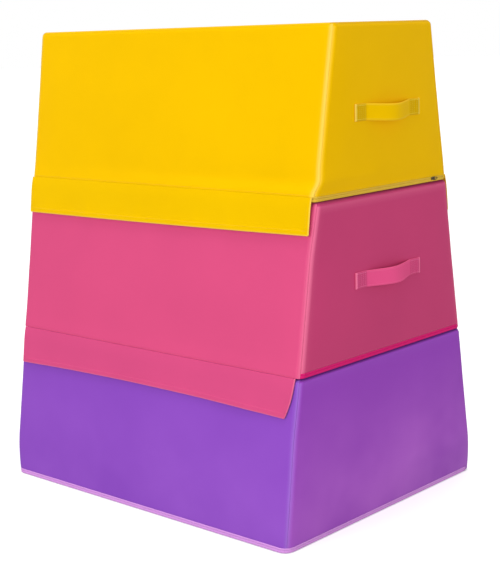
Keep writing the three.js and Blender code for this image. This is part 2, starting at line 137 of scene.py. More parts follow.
def twisted(section, x, y, z):
    """How far a place near a section's near right edge is out of true."""
    near = np.clip(0.5 - y / (2 * half_width(z)), 0, 1) * np.clip(x / LENGTH + 0.5, 0, 1)
    return np.interp(z, TWIST_HEIGHTS, section["twist"]) * near


def risen(z):
    """A height, moved up where it is near a joint."""
    for joint, rise in enumerate(JOINT_RISES, 1):
        z = z + rise * np.exp(-(((z - joint * SECTION_STEP) / JOINT_REACH) ** 2))
    return z


def skin(section, centre, normal, inset, height):
    """Places on a section's skin, from columns (centre, normal) and rows (inset, height)."""
    place = centre + normal * np.asarray(CORNER_RADIUS - inset)[..., None]
    share = settled(section, height)
    round_start = np.array([LENGTH / 2, section["middle"]]) - FLOOR_CORNER_RADIUS
    past = np.abs(place) - round_start
    turn = np.arctan2(np.maximum(past[..., 1], TINY), np.maximum(past[..., 0], TINY))
    cos, sin = np.cos(turn), np.sin(turn)
    offset = FLOOR_CORNER_RADIUS - CORNER_RADIUS
    flat = FLOOR_CORNER_RADIUS / np.maximum(cos, sin)
    rounded = offset * (cos + sin) + np.sqrt(
        np.maximum(CORNER_RADIUS**2 - offset**2 * (1 - 2 * cos * sin), 0))
    reach = np.where(flat * np.minimum(cos, sin) <= offset, flat, rounded)
    shrink = (1 + share * (FLOOR_CORNER_RADIUS / reach - 1))[..., None]
    in_corner = (past > 0).all(axis=-1, keepdims=True)
    place = np.where(in_corner, np.sign(place) * (round_start + past * shrink), place)
    draw_in = share * SETTLE_DRAW_IN
    x, y, z = place[..., 0], place[..., 1], risen(section["floor"] + height)
    askew = twisted(section, x, y, z)
    return np.stack(np.broadcast_arrays(
        x * (1 - draw_in / (LENGTH / 2)) + askew,
        y / section["middle"] * (half_width(z) - draw_in) + askew, z), axis=-1)


def foot(turn, depth=0.0):
    """A row on the rounded foot edge: 0 is the wall, a quarter turn is the underside."""
    radius = FOOT_RADIUS - depth
    return FOOT_RADIUS - radius * np.cos(turn), FOOT_RADIUS - radius * np.sin(turn)


def crown(turn, depth=0.0):
    """A row on the rounded top edge: 0 is the wall, a quarter turn is the deck."""
    radius = CROWN_RADIUS - depth
    return CROWN_RADIUS - radius * np.cos(turn), CROWN_START + radius * np.sin(turn)


def spaced(start, end, step):
    count = max(1, round(abs(end - start) / step))
    return [start + (end - start) * i / count for i in range(count + 1)]


def side_columns(section, face, step, turns=CORNER_TURNS):
    """The columns of one side, anticlockwise seen from above: their centres and normals."""
    half, reach = section["half"], SIDE_HALF
    if face in ("front", "back"):
        half, reach = reach, half
    lines = [(-half, -turn) for turn in turns]
    lines += [(place, 0.0) for place in spaced(-half, half, step)]
    lines += [(half, turn) for turn in reversed(turns)]
    along, turn = np.array(lines).T
    out = math.radians(FACES[face])
    centre = np.stack([
        math.cos(out) * reach - math.sin(out) * along,
        math.sin(out) * reach + math.cos(out) * along,
    ], axis=-1)
    return centre, np.stack([np.cos(out + turn), np.sin(out + turn)], axis=-1)


def numbered(grid):
    """The numbers of a grid's points, row by row."""
    return np.arange(grid.shape[0] * grid.shape[1]).reshape(grid.shape[:2])


def squares(number):
    """The squares between a grid's numbered points."""
    corners = (number[:-1, :-1], number[:-1, 1:], number[1:, 1:], number[1:, :-1])
    return np.stack(corners, axis=-1).reshape(-1, 4)


def new_piece(name, places, faces, edges=(), **layers):
    """A smooth piece from its places and faces, with layers of values on its points."""
    mesh = bpy.data.meshes.new(name)
    mesh.from_pydata(places.reshape(-1, 3).tolist(), edges, faces)
    for label, values in layers.items():
        layer = mesh.attributes.new(label, "FLOAT", "POINT")
        layer.data.foreach_set("value", values.reshape(-1).astype(np.float32))
    mesh.shade_smooth()
    piece = bpy.data.objects.new(name, mesh)
    scene.collection.objects.link(piece)
    return piece


def loose_block(section):
    """The block before it swells: a closed rounded form a little inside the cover."""
    walls = [side_columns(section, face, FOAM_COLUMN_STEP, CORNER_TURNS[::2]) for face in FACES]
    centre, normal = (np.concatenate(columns) for columns in zip(*walls))
    rows = [foot(turn, FOAM_FOOT_DEPTH) for turn in (math.pi / 2, math.pi / 4, 0)]
    rows += [(FOAM_DEPTH, height) for height in spaced(FOAM_STEP, SECTION_HEIGHT - FOAM_STEP, FOAM_STEP)]
    rows += [crown(turn, FOAM_DEPTH) for turn in (0, math.pi / 6, math.pi / 3, math.pi / 2)]
    inset, height = np.array(rows).T[..., None]
    places = skin(section, centre, normal, inset, height)
    number = numbered(places)
    faces = squares(np.concatenate([number, number[:, :1]], axis=1)).tolist()
    faces += [number[0, ::-1].tolist(), number[-1].tolist()]
    return new_piece(section["name"] + "_foam", places, faces)


def applied(piece):
    """The piece with its modifiers made part of its mesh."""
    graph = bpy.context.evaluated_depsgraph_get()
    mesh = bpy.data.meshes.new_from_object(piece.evaluated_get(graph))
    piece.modifiers.clear()
    piece.data = mesh
    return piece


def coordinates(mesh):
    found = np.zeros(len(mesh.vertices) * 3)
    mesh.vertices.foreach_get("co", found)
    return found.reshape(-1, 3)


def swell(block, section):
    """Runs the block as cloth under pressure, and moves it by the swelling, held to its limit."""
    start = coordinates(block.data)
    height = start[:, 2] - section["floor"]
    pressed = (height < FOAM_HELD) | (height > SECTION_HEIGHT - FOAM_HELD)
    held = block.vertex_groups.new(name="held")
    held.add(np.nonzero(pressed)[0].tolist(), 1.0, "REPLACE")
    cloth = block.modifiers.new("cover", "CLOTH")
    cloth.settings.quality = CLOTH_QUALITY
    cloth.settings.vertex_group_mass = held.name
    cloth.settings.use_pressure = True
    cloth.settings.uniform_pressure_force = FOAM_PRESSURE
    cloth.settings.effector_weights.gravity = 0
    cloth.collision_settings.use_collision = False
    cloth.point_cache.frame_start, cloth.point_cache.frame_end = 1, SWELL_FRAMES
    for step in range(1, SWELL_FRAMES + 1):
        scene.frame_set(step)
    graph = bpy.context.evaluated_depsgraph_get()
    move = coordinates(block.evaluated_get(graph).data) - start
    block.modifiers.clear()
    block.vertex_groups.clear()
    scene.frame_set(1)
    farthest = np.linalg.norm(move, axis=1).max()
    move *= min(1, FOAM_SWELL / max(farthest, TINY))
    block.data.vertices.foreach_set("co", (start + move).reshape(-1))
    block.data.update()
    return start, move


class Finish:
    """A material as it is written: its nodes are added by name and joined by their sockets."""

    def __init__(self, name, **constants):
        self.material = bpy.data.materials.new(name)
        self.material.use_nodes = True
        self.tree = self.material.node_tree
        self.shader = self.tree.nodes["Principled BSDF"]
        self.shows(**constants)
        self.place = self.node("TexCoord")["Object"]

    def node(self, kind, settings=None, **sockets):
        """Adds a node, sets its settings first, then values or links; gives its outputs by name
        and by number. An input that shares its name with others is given by number, as in i6."""
        made = self.tree.nodes.new("ShaderNode" + kind)
        for name, value in (settings or {}).items():
            setattr(made, name, value)
        for name, value in sockets.items():
            self.join(value, made.inputs[int(name[1:]) if name[1:].isdigit() else name.replace("_", " ")])
        outputs = [Amount(self, output) for output in made.outputs]
        return {output.socket.name: output for output in outputs} | dict(enumerate(outputs))

    def join(self, value, socket):
        if isinstance(value, Amount):
            self.tree.links.new(value.socket, socket)
        else:
            socket.default_value = value

    def shows(self, **sockets):
        for name, value in sockets.items():
            self.join(value, self.shader.inputs[name.replace("_", " ")])
        return self.material

    def maths(self, operation, *numbers):
        sockets = {f"i{place}": number for place, number in enumerate(numbers)}
        return self.node("Math", {"operation": operation}, **sockets)["Value"]

    def blend(self, factor, first, second):
        """A colour between two, by a mask."""
        return self.node("Mix", {"data_type": "RGBA"}, i0=factor, i6=first, i7=second)[2]

    def noise(self, scale, detail, **more):
        return self.node("TexNoise", Vector=self.place, Scale=scale, Detail=detail, **more)["Fac"]

    def axes(self, place):
        return self.node("SeparateXYZ", Vector=place)

    def layer(self, name):
        """A layer of values on the piece's points."""
        return self.node("Attribute", {"attribute_name": name})["Fac"]

    def bump(self, height, strength, distance):
        return self.node("Bump", Strength=strength, Distance=distance, Height=height)["Normal"]


class Amount:
    """A socket that counts as a number: sums and products of it add Math nodes."""

    def __init__(self, finish, socket):
        self.finish, self.socket = finish, socket

    def __add__(self, other):
        return self.finish.maths("ADD", self, other)

    def __radd__(self, other):
        return self.finish.maths("ADD", other, self)

    def __sub__(self, other):
        return self.finish.maths("SUBTRACT", self, other)

    def __rsub__(self, other):
        return self.finish.maths("SUBTRACT", other, self)

    def __mul__(self, other):
        return self.finish.maths("MULTIPLY", self, other)

    def __rmul__(self, other):
        return self.finish.maths("MULTIPLY", other, self)

    def held(self, low=0.0, high=1.0):
        return self.finish.maths("MINIMUM", self.finish.maths("MAXIMUM", self, low), high)

    def wave(self):
        return self.finish.maths("SINE", self)


def linear(*colour):
    """A colour written as it shows on screen, 0 to 255, for a shader."""
    values = [value / 255 for value in colour]
    return (*(value / 12.92 if value <= 0.04045 else ((value + 0.055) / 1.055) ** 2.4
              for value in values), 1.0)


def toned(colour, *shares):
    """A shader colour with its red, green and blue scaled."""
    return (*(value * share for value, share in zip(colour, shares)), 1.0)


def paler(colour, step):
    return tuple(min(1, value + step) for value in colour)


def cut_foam():
    """Open-cell foam: small pores and a faintly yellowed tone."""
    finish = Finish("open cell foam", Roughness=0.95)
    pores = finish.node("TexVoronoi", Vector=finish.place, Scale=700.0)["Distance"]
    colour = finish.blend(finish.noise(9.0, 3.0), linear(236, 228, 200), linear(222, 208, 168))
    # Darker in the pores: painted shade in their hollows.
    colour = finish.blend((1 - pores * 1.6).held() * 0.35, colour, linear(176, 162, 122))
    return finish.shows(Base_Color=colour, Normal=finish.bump(pores, 0.5, 0.0006))


def finished(piece, finish, body):
    """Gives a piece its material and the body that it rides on."""
    piece.data.materials.clear()
    piece.data.materials.append(finish)
    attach(piece, body)


foam_finish = cut_foam()
for section in SECTIONS:
    block = loose_block(section)
    remesh = block.modifiers.new("voxels", "REMESH")
    remesh.mode = "VOXEL"
    remesh.voxel_size = FOAM_VOXEL
    remesh.use_smooth_shade = True
    applied(block)
    rest = coordinates(block.data)
    section["rest"], section["move"] = swell(block, section)
    round_off = block.modifiers.new("round off", "SUBSURF")
    round_off.levels = round_off.render_levels = 1
    applied(block).data.shade_smooth()
    finished(block, foam_finish, section["body"])
    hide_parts(section["name"] + "_foam_core")
    section["foam"] = block
    section["near"] = kdtree.KDTree(len(section["rest"]))
    for number, place in enumerate(section["rest"]):
        section["near"].insert(place, number)
    section["near"].balance()


def swollen(section, places):
    """Places on the loose section, moved along with the foam under them."""
    flat = places.reshape(-1, 3)
    moved = np.empty_like(flat)
    for number, place in enumerate(flat):
        found = section["near"].find_n(place, NEIGHBOURS)
        weights = np.array([math.exp(-((distance / NEIGHBOUR_REACH) ** 2)) for _, _, distance in found])
        shift = section["move"][[index for _, index, _ in found]]
        moved[number] = place + (shift * weights[:, None]).sum(axis=0) / max(weights.sum(), TINY)
    return moved.reshape(places.shape)


# The base panels. Each cover's underside is one panel of coated fabric whose border turns up round
# the rounded foot of the foam, where the lower half of the zip is sewn to it.
PANEL_STEP, DECK_STEP = 0.007, 0.010
PANEL_TURN_UP = 0.006
PANEL_RIM_DEPTHS = (0.0012, 0.0012, 0.0010, 0.0007, 0.0004, 0.0001)
# The cloth colours of each cover. The end panels are the same cloth, given their own colours as painted
# light and shade for how the light falls on the ends: darker on the pink, redder on the purple. The
# purple's paler colours towards the floor, its foot and end foot, are painted light too.
COVERS = {
    "bottom": {"slot": "cover_purple", "shine": 0.12, "colour": (145, 78, 199), "foot": (158, 91, 208),
               "end": (160, 76, 197), "end foot": (187, 104, 213)},
    "middle": {"slot": "cover_pink", "shine": 0.12, "colour": (229, 84, 135), "end": (209, 71, 122)},
    "top": {"slot": "cover_yellow", "shine": 0.05, "colour": (255, 201, 0), "end": (255, 200, 0)},
}
# A paler lilac painted low on the back of the purple cover: painted fill light.
PAINTED_FILL_COLOUR = (203, 128, 222)
FLAP_DULLER = (6, 2, 0)


def coated_fabric(name, colour, foot_colour, highlight_base, shine):
    """Woven polyester with a smooth satin coating: the weave shows through as a faint grain. It is
    painted paler towards the floor and towards the back: painted light. One layer of values paints a
    highlight along its edges, broken up by scuffs, and another paints shade at seams, joints and rims."""
    full = linear(*colour)
    tint = (*(0.05 + 0.95 * value for value in full[:3]), 1)
    finish = Finish(name, Specular_IOR_Level=shine, Specular_Tint=tint)
    axes = finish.axes(finish.place)
    warp = ((axes["X"] + axes["Y"]) * 5200.0).wave() * (axes["Z"] * 5200.0).wave()
    cloud = finish.noise(4.5, 3.0, Roughness=0.55)
    scuff = finish.noise(38.0, 6.0, Roughness=0.7)
    edge = finish.layer("edge")
    # Painted light: paler towards the floor, and more so towards the back.
    painted_floor_light = ((0.27 - axes["Z"]) * (4.2 + axes["Y"].held() * 14.0)).held()
    # Painted fill light: paler still, low down towards the back.
    painted_fill = ((0.1 - axes["Z"]) * 12.0).held() * (axes["Y"] * 4.0).held()
    colour = finish.blend(painted_floor_light, full, linear(*foot_colour))
    colour = finish.blend(painted_fill, colour, linear(*PAINTED_FILL_COLOUR))
    colour = finish.blend(((0.7 - cloud) * 2.5).held() * 0.9, colour, toned(full, 0.95, 0.94, 0.96))
    # Painted highlight: paler where the edge layer says, broken up by the scuff noise.
    colour = finish.blend((edge * (0.86 + scuff * 0.28)).held(), colour, paler(linear(*highlight_base), 0.1))
    # Painted shade: darker where the shade layer says.
    colour = finish.blend(finish.layer("groove").held(), colour, toned(full, 0.3, 0.24, 0.3))
    roughness = (0.34 + cloud * 0.08 + (scuff - 0.5) * 0.12 + edge * 0.04).held(0.2, 0.8)
    height = finish.noise(620.0, 3.0) * 0.5 + warp * 0.22 + scuff * 0.35
    return finish.shows(Base_Color=colour, Roughness=roughness, Normal=finish.bump(height, 0.35, 0.00022))


# Each cover gets a front finish, an end finish in its painted end colours, and a flap finish.
for cover in COVERS.values():
    colour, end = cover["colour"], cover["end"]
    duller = tuple(max(0, value - step) for value, step in zip(colour, FLAP_DULLER))
    looks = {"": (colour, cover.get("foot", colour)), " end": (end, cover.get("end foot", end)),
             " flap": (duller, duller)}
    cover["finish"], cover["end finish"], cover["flap finish"] = (
        coated_fabric(cover["slot"] + part, *look, colour, cover["shine"]) for part, look in looks.items())


def lines_across(half, rims, step):
    """Lines from -half to half: at the given distances in from both ends, then evenly spaced."""
    *rims, start = rims
    border = [half - rim for rim in rims]
    return np.array([-line for line in border] + spaced(start - half, half - start, step) + border[::-1])


def edge_lines(half, reach, step=DECK_STEP):
    """Lines across a panel: even over its flat middle, close together over its rounded border."""
    rims = [reach * (1 - math.tan(turn)) for turn in CORNER_TURNS] + [reach]
    return lines_across(half + reach, rims, step)


def lip(count, depths):
    """How deep a panel's rim dips into its seam, line by line, the same at both of its sides."""
    dip = np.zeros(count)
    dip[:len(depths)] = depths
    return np.maximum(dip, dip[::-1])


def flat_places(section, x_lines, y_lines, radius, rounding, depth, flat_height):
    """Places of a level panel whose border goes round an edge, and how far in each of them is."""
    x, y = np.meshgrid(x_lines, y_lines)
    reach = np.array([SIDE_HALF, section["half"]])
    place = np.stack([x, y], axis=-1)
    centre = np.clip(place, -reach, reach)
    off = place - centre
    length = np.linalg.norm(off, axis=-1, keepdims=True)
    normal = np.where(length > TINY, off / np.maximum(length, TINY), 0)
    inset = CORNER_RADIUS - np.abs(off).max(axis=-1)
    turn = np.arccos(np.clip((radius - inset) / radius, 0, 1))
    round_inset, round_height = rounding(turn, depth)
    flat = inset >= radius
    places = skin(section, centre, normal, np.where(flat, inset, round_inset),
                  np.where(flat, flat_height, round_height))
    return places, inset


def sheet(name, places, keep=slice(None), **layers):
    """A sheet from a grid of places whose rows go up and columns to the right, seen from outside."""
    used, corners = np.unique(squares(numbered(places))[keep], return_inverse=True)
    layers = {label: values.reshape(-1)[used] for label, values in layers.items()}
    return new_piece(name, places.reshape(-1, 3)[used], corners.reshape(-1, 4).tolist(), **layers)


for section in SECTIONS:
    name, cover = section["name"], COVERS[section["name"]]
    x_lines, y_lines = (edge_lines(half, CORNER_RADIUS) for half in (SIDE_HALF, section["half"]))
    depth = np.maximum(lip(len(y_lines), PANEL_RIM_DEPTHS)[:, None], lip(len(x_lines), PANEL_RIM_DEPTHS))
    places, inset = flat_places(section, x_lines, y_lines, FOOT_RADIUS, foot, depth, 0.0)
    # A painted highlight on the panel's turned-up rim, and painted shade where it turns under the foot.
    edge = np.clip(1.4 - inset / 0.0014, 0, 1) * 0.7
    groove = np.clip(inset / 0.0012 - 0.6, 0, 0.5)
    panel = sheet(name + "_base_cover", places[::-1], edge=edge[::-1], groove=groove[::-1])
    finished(panel, cover["finish"], section["body"])
    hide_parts(name + "_base_panel")
    2 * section["middle"] + PANEL_TURN_UP


# The wraps. One piece of coated fabric runs up the front of a section, over its top and down its
# back to the base panel. On the two upper sections its front runs on over the zip to the seam where
# the flap is sewn on. Its rims are turned in at the seams with the end panels and top-stitched.
WALL_START, BACK_END = 0.0094, 0.0027
FLAP_SEAMS = {"middle": 0.0007, "top": 0.0084}
SEAM_GAP = 0.0003
RIM_STEPS = (0, 0.0006, 0.0028)
GUARD_HEIGHTS = (0.0094, 0.0130, 0.0165, 0.0200, 0.0240)
GUARD_LIFT, GUARD_RISE, GUARD_GAP = 0.0013, 0.060, 0.004
ROW_GAP = 0.005
SEAM_DEPTHS = (0.0007, 0.0001)
RIM_LINES, FREE_LINES, FREE_RISE = 4, 7, 0.05
WRAP_BULGE, END_BULGE = 0.00045, 0.0005
CREASE_DEPTH, CREASE_REACH = 0.00012, 0.02
DECK_REACH = CORNER_RADIUS - CROWN_RADIUS * (1 - math.cos(math.radians(45)))

# How the cloth is painted at its seams. A painted highlight down the rounded upright corners, line
# by line in from an upright seam, on the wrap and on the end; painted shade on the upright seams, on
# the deck's border, darkest where a section sits on it, and along the wrap's foot; how strong the
# painted highlight just below the crown is; and painted shade on the crown, row by row.
SEAM_LOOKS = {
    "bottom": {"wrap": (0.5, 0.75, 0.8, 0.45, 0.2, 0.08), "end": (0.3, 0.6, 0.65, 0.4, 0.15, 0.03),
               "upright": 0.3, "deck": 0.75, "foot": 0.35, "under crown": 0.2,
               "crown": (0.0, 0.06, 0.3, 0.45, 0.55)},
    "middle": {"wrap": (0.5, 0.75, 0.75, 0.4, 0.2, 0.08),
               "end": (0.4, 0.75, 0.85, 0.8, 0.6, 0.35, 0.12, 0.03),
               "upright": 0.3, "deck": 0.75, "foot": 0.12, "under crown": 1.0,
               "crown": (0.0, 0.08, 0.3, 0.45, 0.55)},
    "top": {"wrap": (0.7, 0.85, 0.95, 0.95, 0.7, 0.25, 0.03), "end": (0.6, 0.5, 0.32, 0.14, 0.03),
            "upright": 0.1, "deck": 0.3, "foot": 0.12, "under crown": 0.0,
            "crown": (0.03, 0.1, 0.2, 0.28, 0.3)},
}
# Painted shade on the wrap's crown rows, and the painted highlight just below the end panels' crown.
WRAP_CROWN_SHADE = (0.06, 0.14, 0.22, 0.22, 0.14)
UNDER_CROWN_HIGHLIGHT = (0.15, 0.3, 0.25)


def face_normals(places):
    """Outward directions over a grid of places."""
    found = np.cross(np.gradient(places, axis=1), np.gradient(places, axis=0))
    return found / np.maximum(np.linalg.norm(found, axis=-1, keepdims=True), 1e-12)


def lines_in(count):
    """How many lines each of a row of lines is from the nearer end."""
    return np.minimum(np.arange(count), np.arange(count)[::-1])


def slack(places, seed, low, heights, inward):
    """The slow unevenness of a pulled panel, which dies out towards its seams."""
    drift = Vector((seed * 7.1, 3.3, 1.7))
    found = [noise.noise(Vector(place) * 6.2 + drift) + 0.45 * noise.noise(Vector(place) * 14.0 - drift)
             for place in places.reshape(-1, 3)]
    sideways = np.clip((inward - RIM_LINES) / FREE_LINES, 0, 1)
    return np.array(found).reshape(places.shape[:-1]) * free(low, heights)[:, None] * sideways


def free(low, heights):
    """How free the cloth is at a height: 0 at the level seams, 1 away from them."""
    return np.clip(np.minimum(heights - low, SECTION_HEIGHT - heights) / FREE_RISE, 0, 1)


def rows_of(heights, insets, crown_angles):
    """Rows of a wall and of the crown above it, as insets and heights."""
    crown_insets, crown_heights = crown(np.radians(crown_angles))
    return np.concatenate([insets, crown_insets]), np.concatenate([heights, crown_heights])


def wall(section, face):
    """One wall of the wrap, from its lower edge up to the middle of the crown: its places, how
    deep the rims of its columns dip, and its heights."""
    name = section["name"]
    guarded = face == "front" and name in FLAP_SEAMS
    low = FLAP_SEAMS[name] + SEAM_GAP if guarded else {"front": WALL_START, "back": BACK_END}[face]
    heights = [low + step for step in RIM_STEPS]
    if name in FLAP_SEAMS:
        heights += [height for height in GUARD_HEIGHTS if height > low + GUARD_GAP]
    heights += spaced(heights[-1] + ROW_GAP, CROWN_START - ROW_GAP, PANEL_STEP)
    share = np.clip((np.array(heights) - WALL_START) / GUARD_RISE, 0, 1)
    insets, heights = rows_of(heights, -GUARD_LIFT * (1 - share) ** 2 * guarded, (0, 11, 22, 34, 45))
    centre, normal = side_columns(section, face, PANEL_STEP)
    if face == "back":
        centre, normal = centre[::-1], normal[::-1]
    dip = lip(len(centre), SEAM_DEPTHS)
    fade = np.clip(lines_in(len(centre)) / 5, 0, 1)
    insets = np.where(insets[:, None] < 0, insets[:, None] * fade, insets[:, None]) + dip
    insets[:2] += (0.0002 if guarded else 0.0005) * np.array([[1], [0.25]])
    return skin(section, centre, normal, insets, heights[:, None]), dip, heights


for section in SECTIONS:
    name, cover, looks = section["name"], COVERS[section["name"]], SEAM_LOOKS[section["name"]]
    front, dip, front_heights = wall(section, "front")
    back, _, back_heights = wall(section, "back")
    x_lines = edge_lines(SIDE_HALF, DECK_REACH, PANEL_STEP)
    y_lines = edge_lines(section["half"], DECK_REACH)
    top, _ = flat_places(section, x_lines, y_lines, CROWN_RADIUS, crown, dip, SECTION_HEIGHT - dip)
    top = top[1:-1]
    places = np.concatenate([front, top, back[::-1]])
    low = np.repeat([front_heights[0], 0, back_heights[0]], [len(front), len(top), len(back)])
    heights = np.concatenate([front_heights, np.full(len(top), SECTION_HEIGHT), back_heights[::-1]])
    inward = lines_in(len(x_lines))
    bulge = WRAP_BULGE * slack(places, section["order"] + 1, low, heights, inward)
    waver = np.array([noise.noise(Vector((height * 62, section["order"], row > len(front))))
                      for row, height in enumerate(places[:, 0, 2])])
    fade = np.exp(-np.maximum(inward - RIM_LINES, 0) * PANEL_STEP / CREASE_REACH)
    crease = CREASE_DEPTH * (free(low, heights) * waver)[:, None] * fade
    places = swollen(section, places + face_normals(places) * (bulge + crease)[..., None])
    section["wrap"] = places, face_normals(places)
    on_top = slice(len(front), len(front) + len(top))
    # The painted highlight down the rounded upright corners, none on the deck's border; painted shade on
    # the upright seams, on the deck's border, in the crown rows and along the wrap's foot.
    edge = np.tile(np.interp(inward, range(len(looks["wrap"])), looks["wrap"], right=0), (len(places), 1))
    edge[on_top, inward < 6] = 0
    groove = np.zeros(edge.shape)
    groove[:, [0, -1]] = looks["upright"]
    groove[on_top, inward < 6] = looks["deck"]
    crowns = [len(front) - 3, len(front) - 2, len(front) - 1, on_top.stop, on_top.stop + 1]
    groove[crowns] = np.maximum(groove[crowns], np.array(WRAP_CROWN_SHADE)[:, None])
    groove[0] = looks["foot"]
    wrap = sheet(name + "_wrap", places, edge=edge, groove=groove)
    finished(wrap, cover["finish"], section["body"])
    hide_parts(name + "_cover_wrap")
    run = np.linalg.norm(np.diff(places[:, places.shape[1] // 2], axis=0), axis=-1).sum()


# The end panels. Each end is one trapezium of coated fabric, sewn to the wrap up both corners and
# over the crown. It stops above the zip, and past the zip's end it runs down to the base panel.
END_HEIGHTS = [BACK_END, 0.0050, 0.0074, WALL_START, 0.0100, 0.0122]
END_FREE_FROM = 0.012
END_PANEL_HEIGHT = SECTION_HEIGHT - 0.006


def end_panel(section, side):
    """The places of an end panel, which of its squares are cloth, its painted highlight and its painted
    shade.
    """
    looks = SEAM_LOOKS[section["name"]]
    centre, normal = side_columns(section, side, PANEL_STEP)
    count = len(centre)
    heights = END_HEIGHTS + spaced(END_HEIGHTS[-1] + ROW_GAP, CROWN_START - ROW_GAP, PANEL_STEP)
    insets, heights = rows_of(heights, np.zeros(len(heights)), (0, 11, 22, 34, 42, 45))
    rows = len(heights)
    crown_dip = np.concatenate([np.zeros(rows - 2), [0.0004, 0.0012]])
    dip = np.maximum(lip(count, SEAM_DEPTHS), crown_dip[:, None])
    tongue = centre[:, 1] > section["band end"] - 1e-6
    dip[3:5, ~tongue] = np.maximum(dip[3:5, ~tongue], [[0.0005], [0.0001]])
    places = skin(section, centre, normal, insets[:, None] + dip, heights[:, None])
    inward = lines_in(count)
    bulge = END_BULGE * slack(places, section["order"] + 5, END_FREE_FROM, heights, inward)
    places = swollen(section, places + face_normals(places) * bulge[..., None])
    keep = np.ones((rows - 1, count - 1), bool)
    keep[:3] = tongue[:-1] & tongue[1:]
    # The painted highlight down the corners and just below the crown, none on the crown; painted shade on
    # the upright seams, on the crown and along the rim above the zip.
    edge = np.tile(np.interp(inward, range(len(looks["end"])), looks["end"], right=0), (rows, 1))
    edge[-7:-4] = np.maximum(edge[-7:-4], np.array(UNDER_CROWN_HIGHLIGHT)[:, None] * looks["under crown"])
    edge[-4:] = 0
    groove = np.zeros((rows, count))
    groove[:, [0, -1]] = looks["upright"]
    groove[-5:] = np.maximum(groove[-5:], np.array(looks["crown"])[:, None])
    groove[3, ~tongue] = 0.35
    return places, keep.reshape(-1), edge, groove


for section in SECTIONS:
    name, cover = section["name"], COVERS[section["name"]]
    low_width, high_width = (2 * half_width(section["floor"] + rise) for rise in (0, SECTION_HEIGHT))
    for side in ("left", "right"):
        places, keep, edge, groove = end_panel(section, side)
        panel = sheet(f"{name}_end_{side}", places, keep, edge=edge, groove=groove)
        finished(panel, cover["end finish"], section["body"])
        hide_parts(f"{name}_end_panel_{side}")
        (low_width + high_width) / 2 * END_PANEL_HEIGHT
        section["end_" + side] = places, face_normals(places)


# The zips. Woven tapes are sewn in behind the rim of the base panel and behind the walls' lower
# edge, and run round the ends and the front. Their coil of teeth closes along the band's middle.
# The zinc slider is parked at one end of the band, with a short cord loop to pull it by.
BAND_MIDDLE, BAND_TOP = 0.0059, 0.0091
TAPE_THICKNESS = 0.0005
TAPE_RIB, TAPE_FOLD = 0.0011, 0.0022
TAPE_ROWS = {
    "lower": [(0.0002, 0.0010), (0.0005, 0.0005), (0.0012, 0.0001), (0.0024, 0), (0.0040, -0.0001),
              (BAND_MIDDLE - 0.0008, 0), (BAND_MIDDLE - 0.0002, 0.0002)],
    "upper": [(BAND_MIDDLE + 0.0002, 0.0002), (BAND_MIDDLE + 0.0008, 0), (0.0074, -0.0001),
              (0.0088, 0), (0.0093, 0.0004), (0.0096, 0.0010), (0.0110, 0.0018), (0.0155, 0.0018),
              (0.0200, 0.0018)],
}
TOOTH_PITCH, TOOTH_SIZE, TOOTH_DEPTH = 0.0016, (0.0010, 0.0015, 0.0008), 0.0002
ZIPS = {
    "bottom": {"slot": "zip_tape_lilac", "colour": (230, 164, 240), "side": -1, "park": 0.045},
    "middle": {"slot": "zip_tape_hot_pink", "colour": (230, 38, 122), "side": -1, "park": 0.025},
    "top": {"slot": "zip_tape_cream", "colour": (234, 193, 68), "side": 1, "park": 0.048},
}
BACKWARDS = [0, 3, 2, 1]


def woven_tape(name, colour):
    """Narrow herringbone tape: slanting ribs that turn over along the middle, and a matt face."""
    full = linear(*colour)
    finish = Finish(name, Specular_IOR_Level=0.2, Specular_Tint=full)
    axes = finish.axes(finish.node("UVMap", {"uv_map": "cut"})["UV"])
    turn = 2 * math.pi / TAPE_RIB
    slant = finish.maths("PINGPONG", axes["Y"], TAPE_FOLD)
    ribs = ((axes["X"] + slant) * turn).wave() * 0.5 + 0.5
    threads = (axes["Y"] * (turn * 2.3)).wave() * 0.5 + 0.5
    fuzz = finish.noise(1400.0, 2.0)
    mask = (0.25 + ribs * 0.45 + finish.noise(16.0, 4.0) * 0.5 + threads * 0.15).held()
    colour = finish.blend(mask, toned(full, 0.84, 0.8, 0.86), full)
    # Painted shade where the tape runs under the wall and beside the teeth.
    colour = finish.blend(finish.layer("groove").held() * 0.9, colour, toned(full, 0.3, 0.25, 0.3))
    normal = finish.bump(ribs * 0.7 + threads * 0.3 + fuzz * 0.25, 0.5, 0.00018)
    return finish.shows(Base_Color=colour, Roughness=0.62 + fuzz * 0.2, Normal=normal)


def closed_sheet(name, outer, inner, **layers):
    """A thin closed piece from an outer and an inner grid, with its flat pattern in metres as UVs."""
    number = numbered(outer)
    below = number + number.size
    faces = [squares(number), squares(below)[:, BACKWARDS]]
    for rim in (0, -1):
        level, upright = (squares(np.stack(pair)) for pair in (
            (number[rim], below[rim]), (number[:, rim], below[:, rim])))
        faces += [level, upright[:, BACKWARDS]] if rim else [level[:, BACKWARDS], upright]
    layers = {label: np.stack([values, values]) for label, values in layers.items()}
    piece = new_piece(name, np.stack([outer, inner]), np.concatenate(faces).tolist(), **layers)
    middles = outer[outer.shape[0] // 2], outer[:, outer.shape[1] // 2]
    steps = [np.linalg.norm(np.diff(middle, axis=0), axis=-1) for middle in middles]
    flat = np.stack(np.meshgrid(*(np.concatenate([[0], np.cumsum(step)]) for step in steps)), axis=-1)
    corners = np.zeros(len(piece.data.loops), np.int32)
    piece.data.loops.foreach_get("vertex_index", corners)
    cut = np.tile(flat.reshape(-1, 2), (2, 1))[corners]
    piece.data.uv_layers.new(name="cut").data.foreach_set("uv", cut.reshape(-1).astype(np.float32))
    return piece


def band_columns(section):
    """The columns of the zip band, from the left back corner round the front to the right back."""
    walls = [side_columns(section, face, PANEL_STEP) for face in ("left", "front", "right")]
    centre, normal = (np.concatenate([left, front[1:], right[1:]]) for left, front, right in zip(*walls))
    open_part = (centre[:, 1] < section["band end"] + PANEL_STEP) & (normal[:, 1] < 0.2)
    return centre[open_part], normal[open_part]


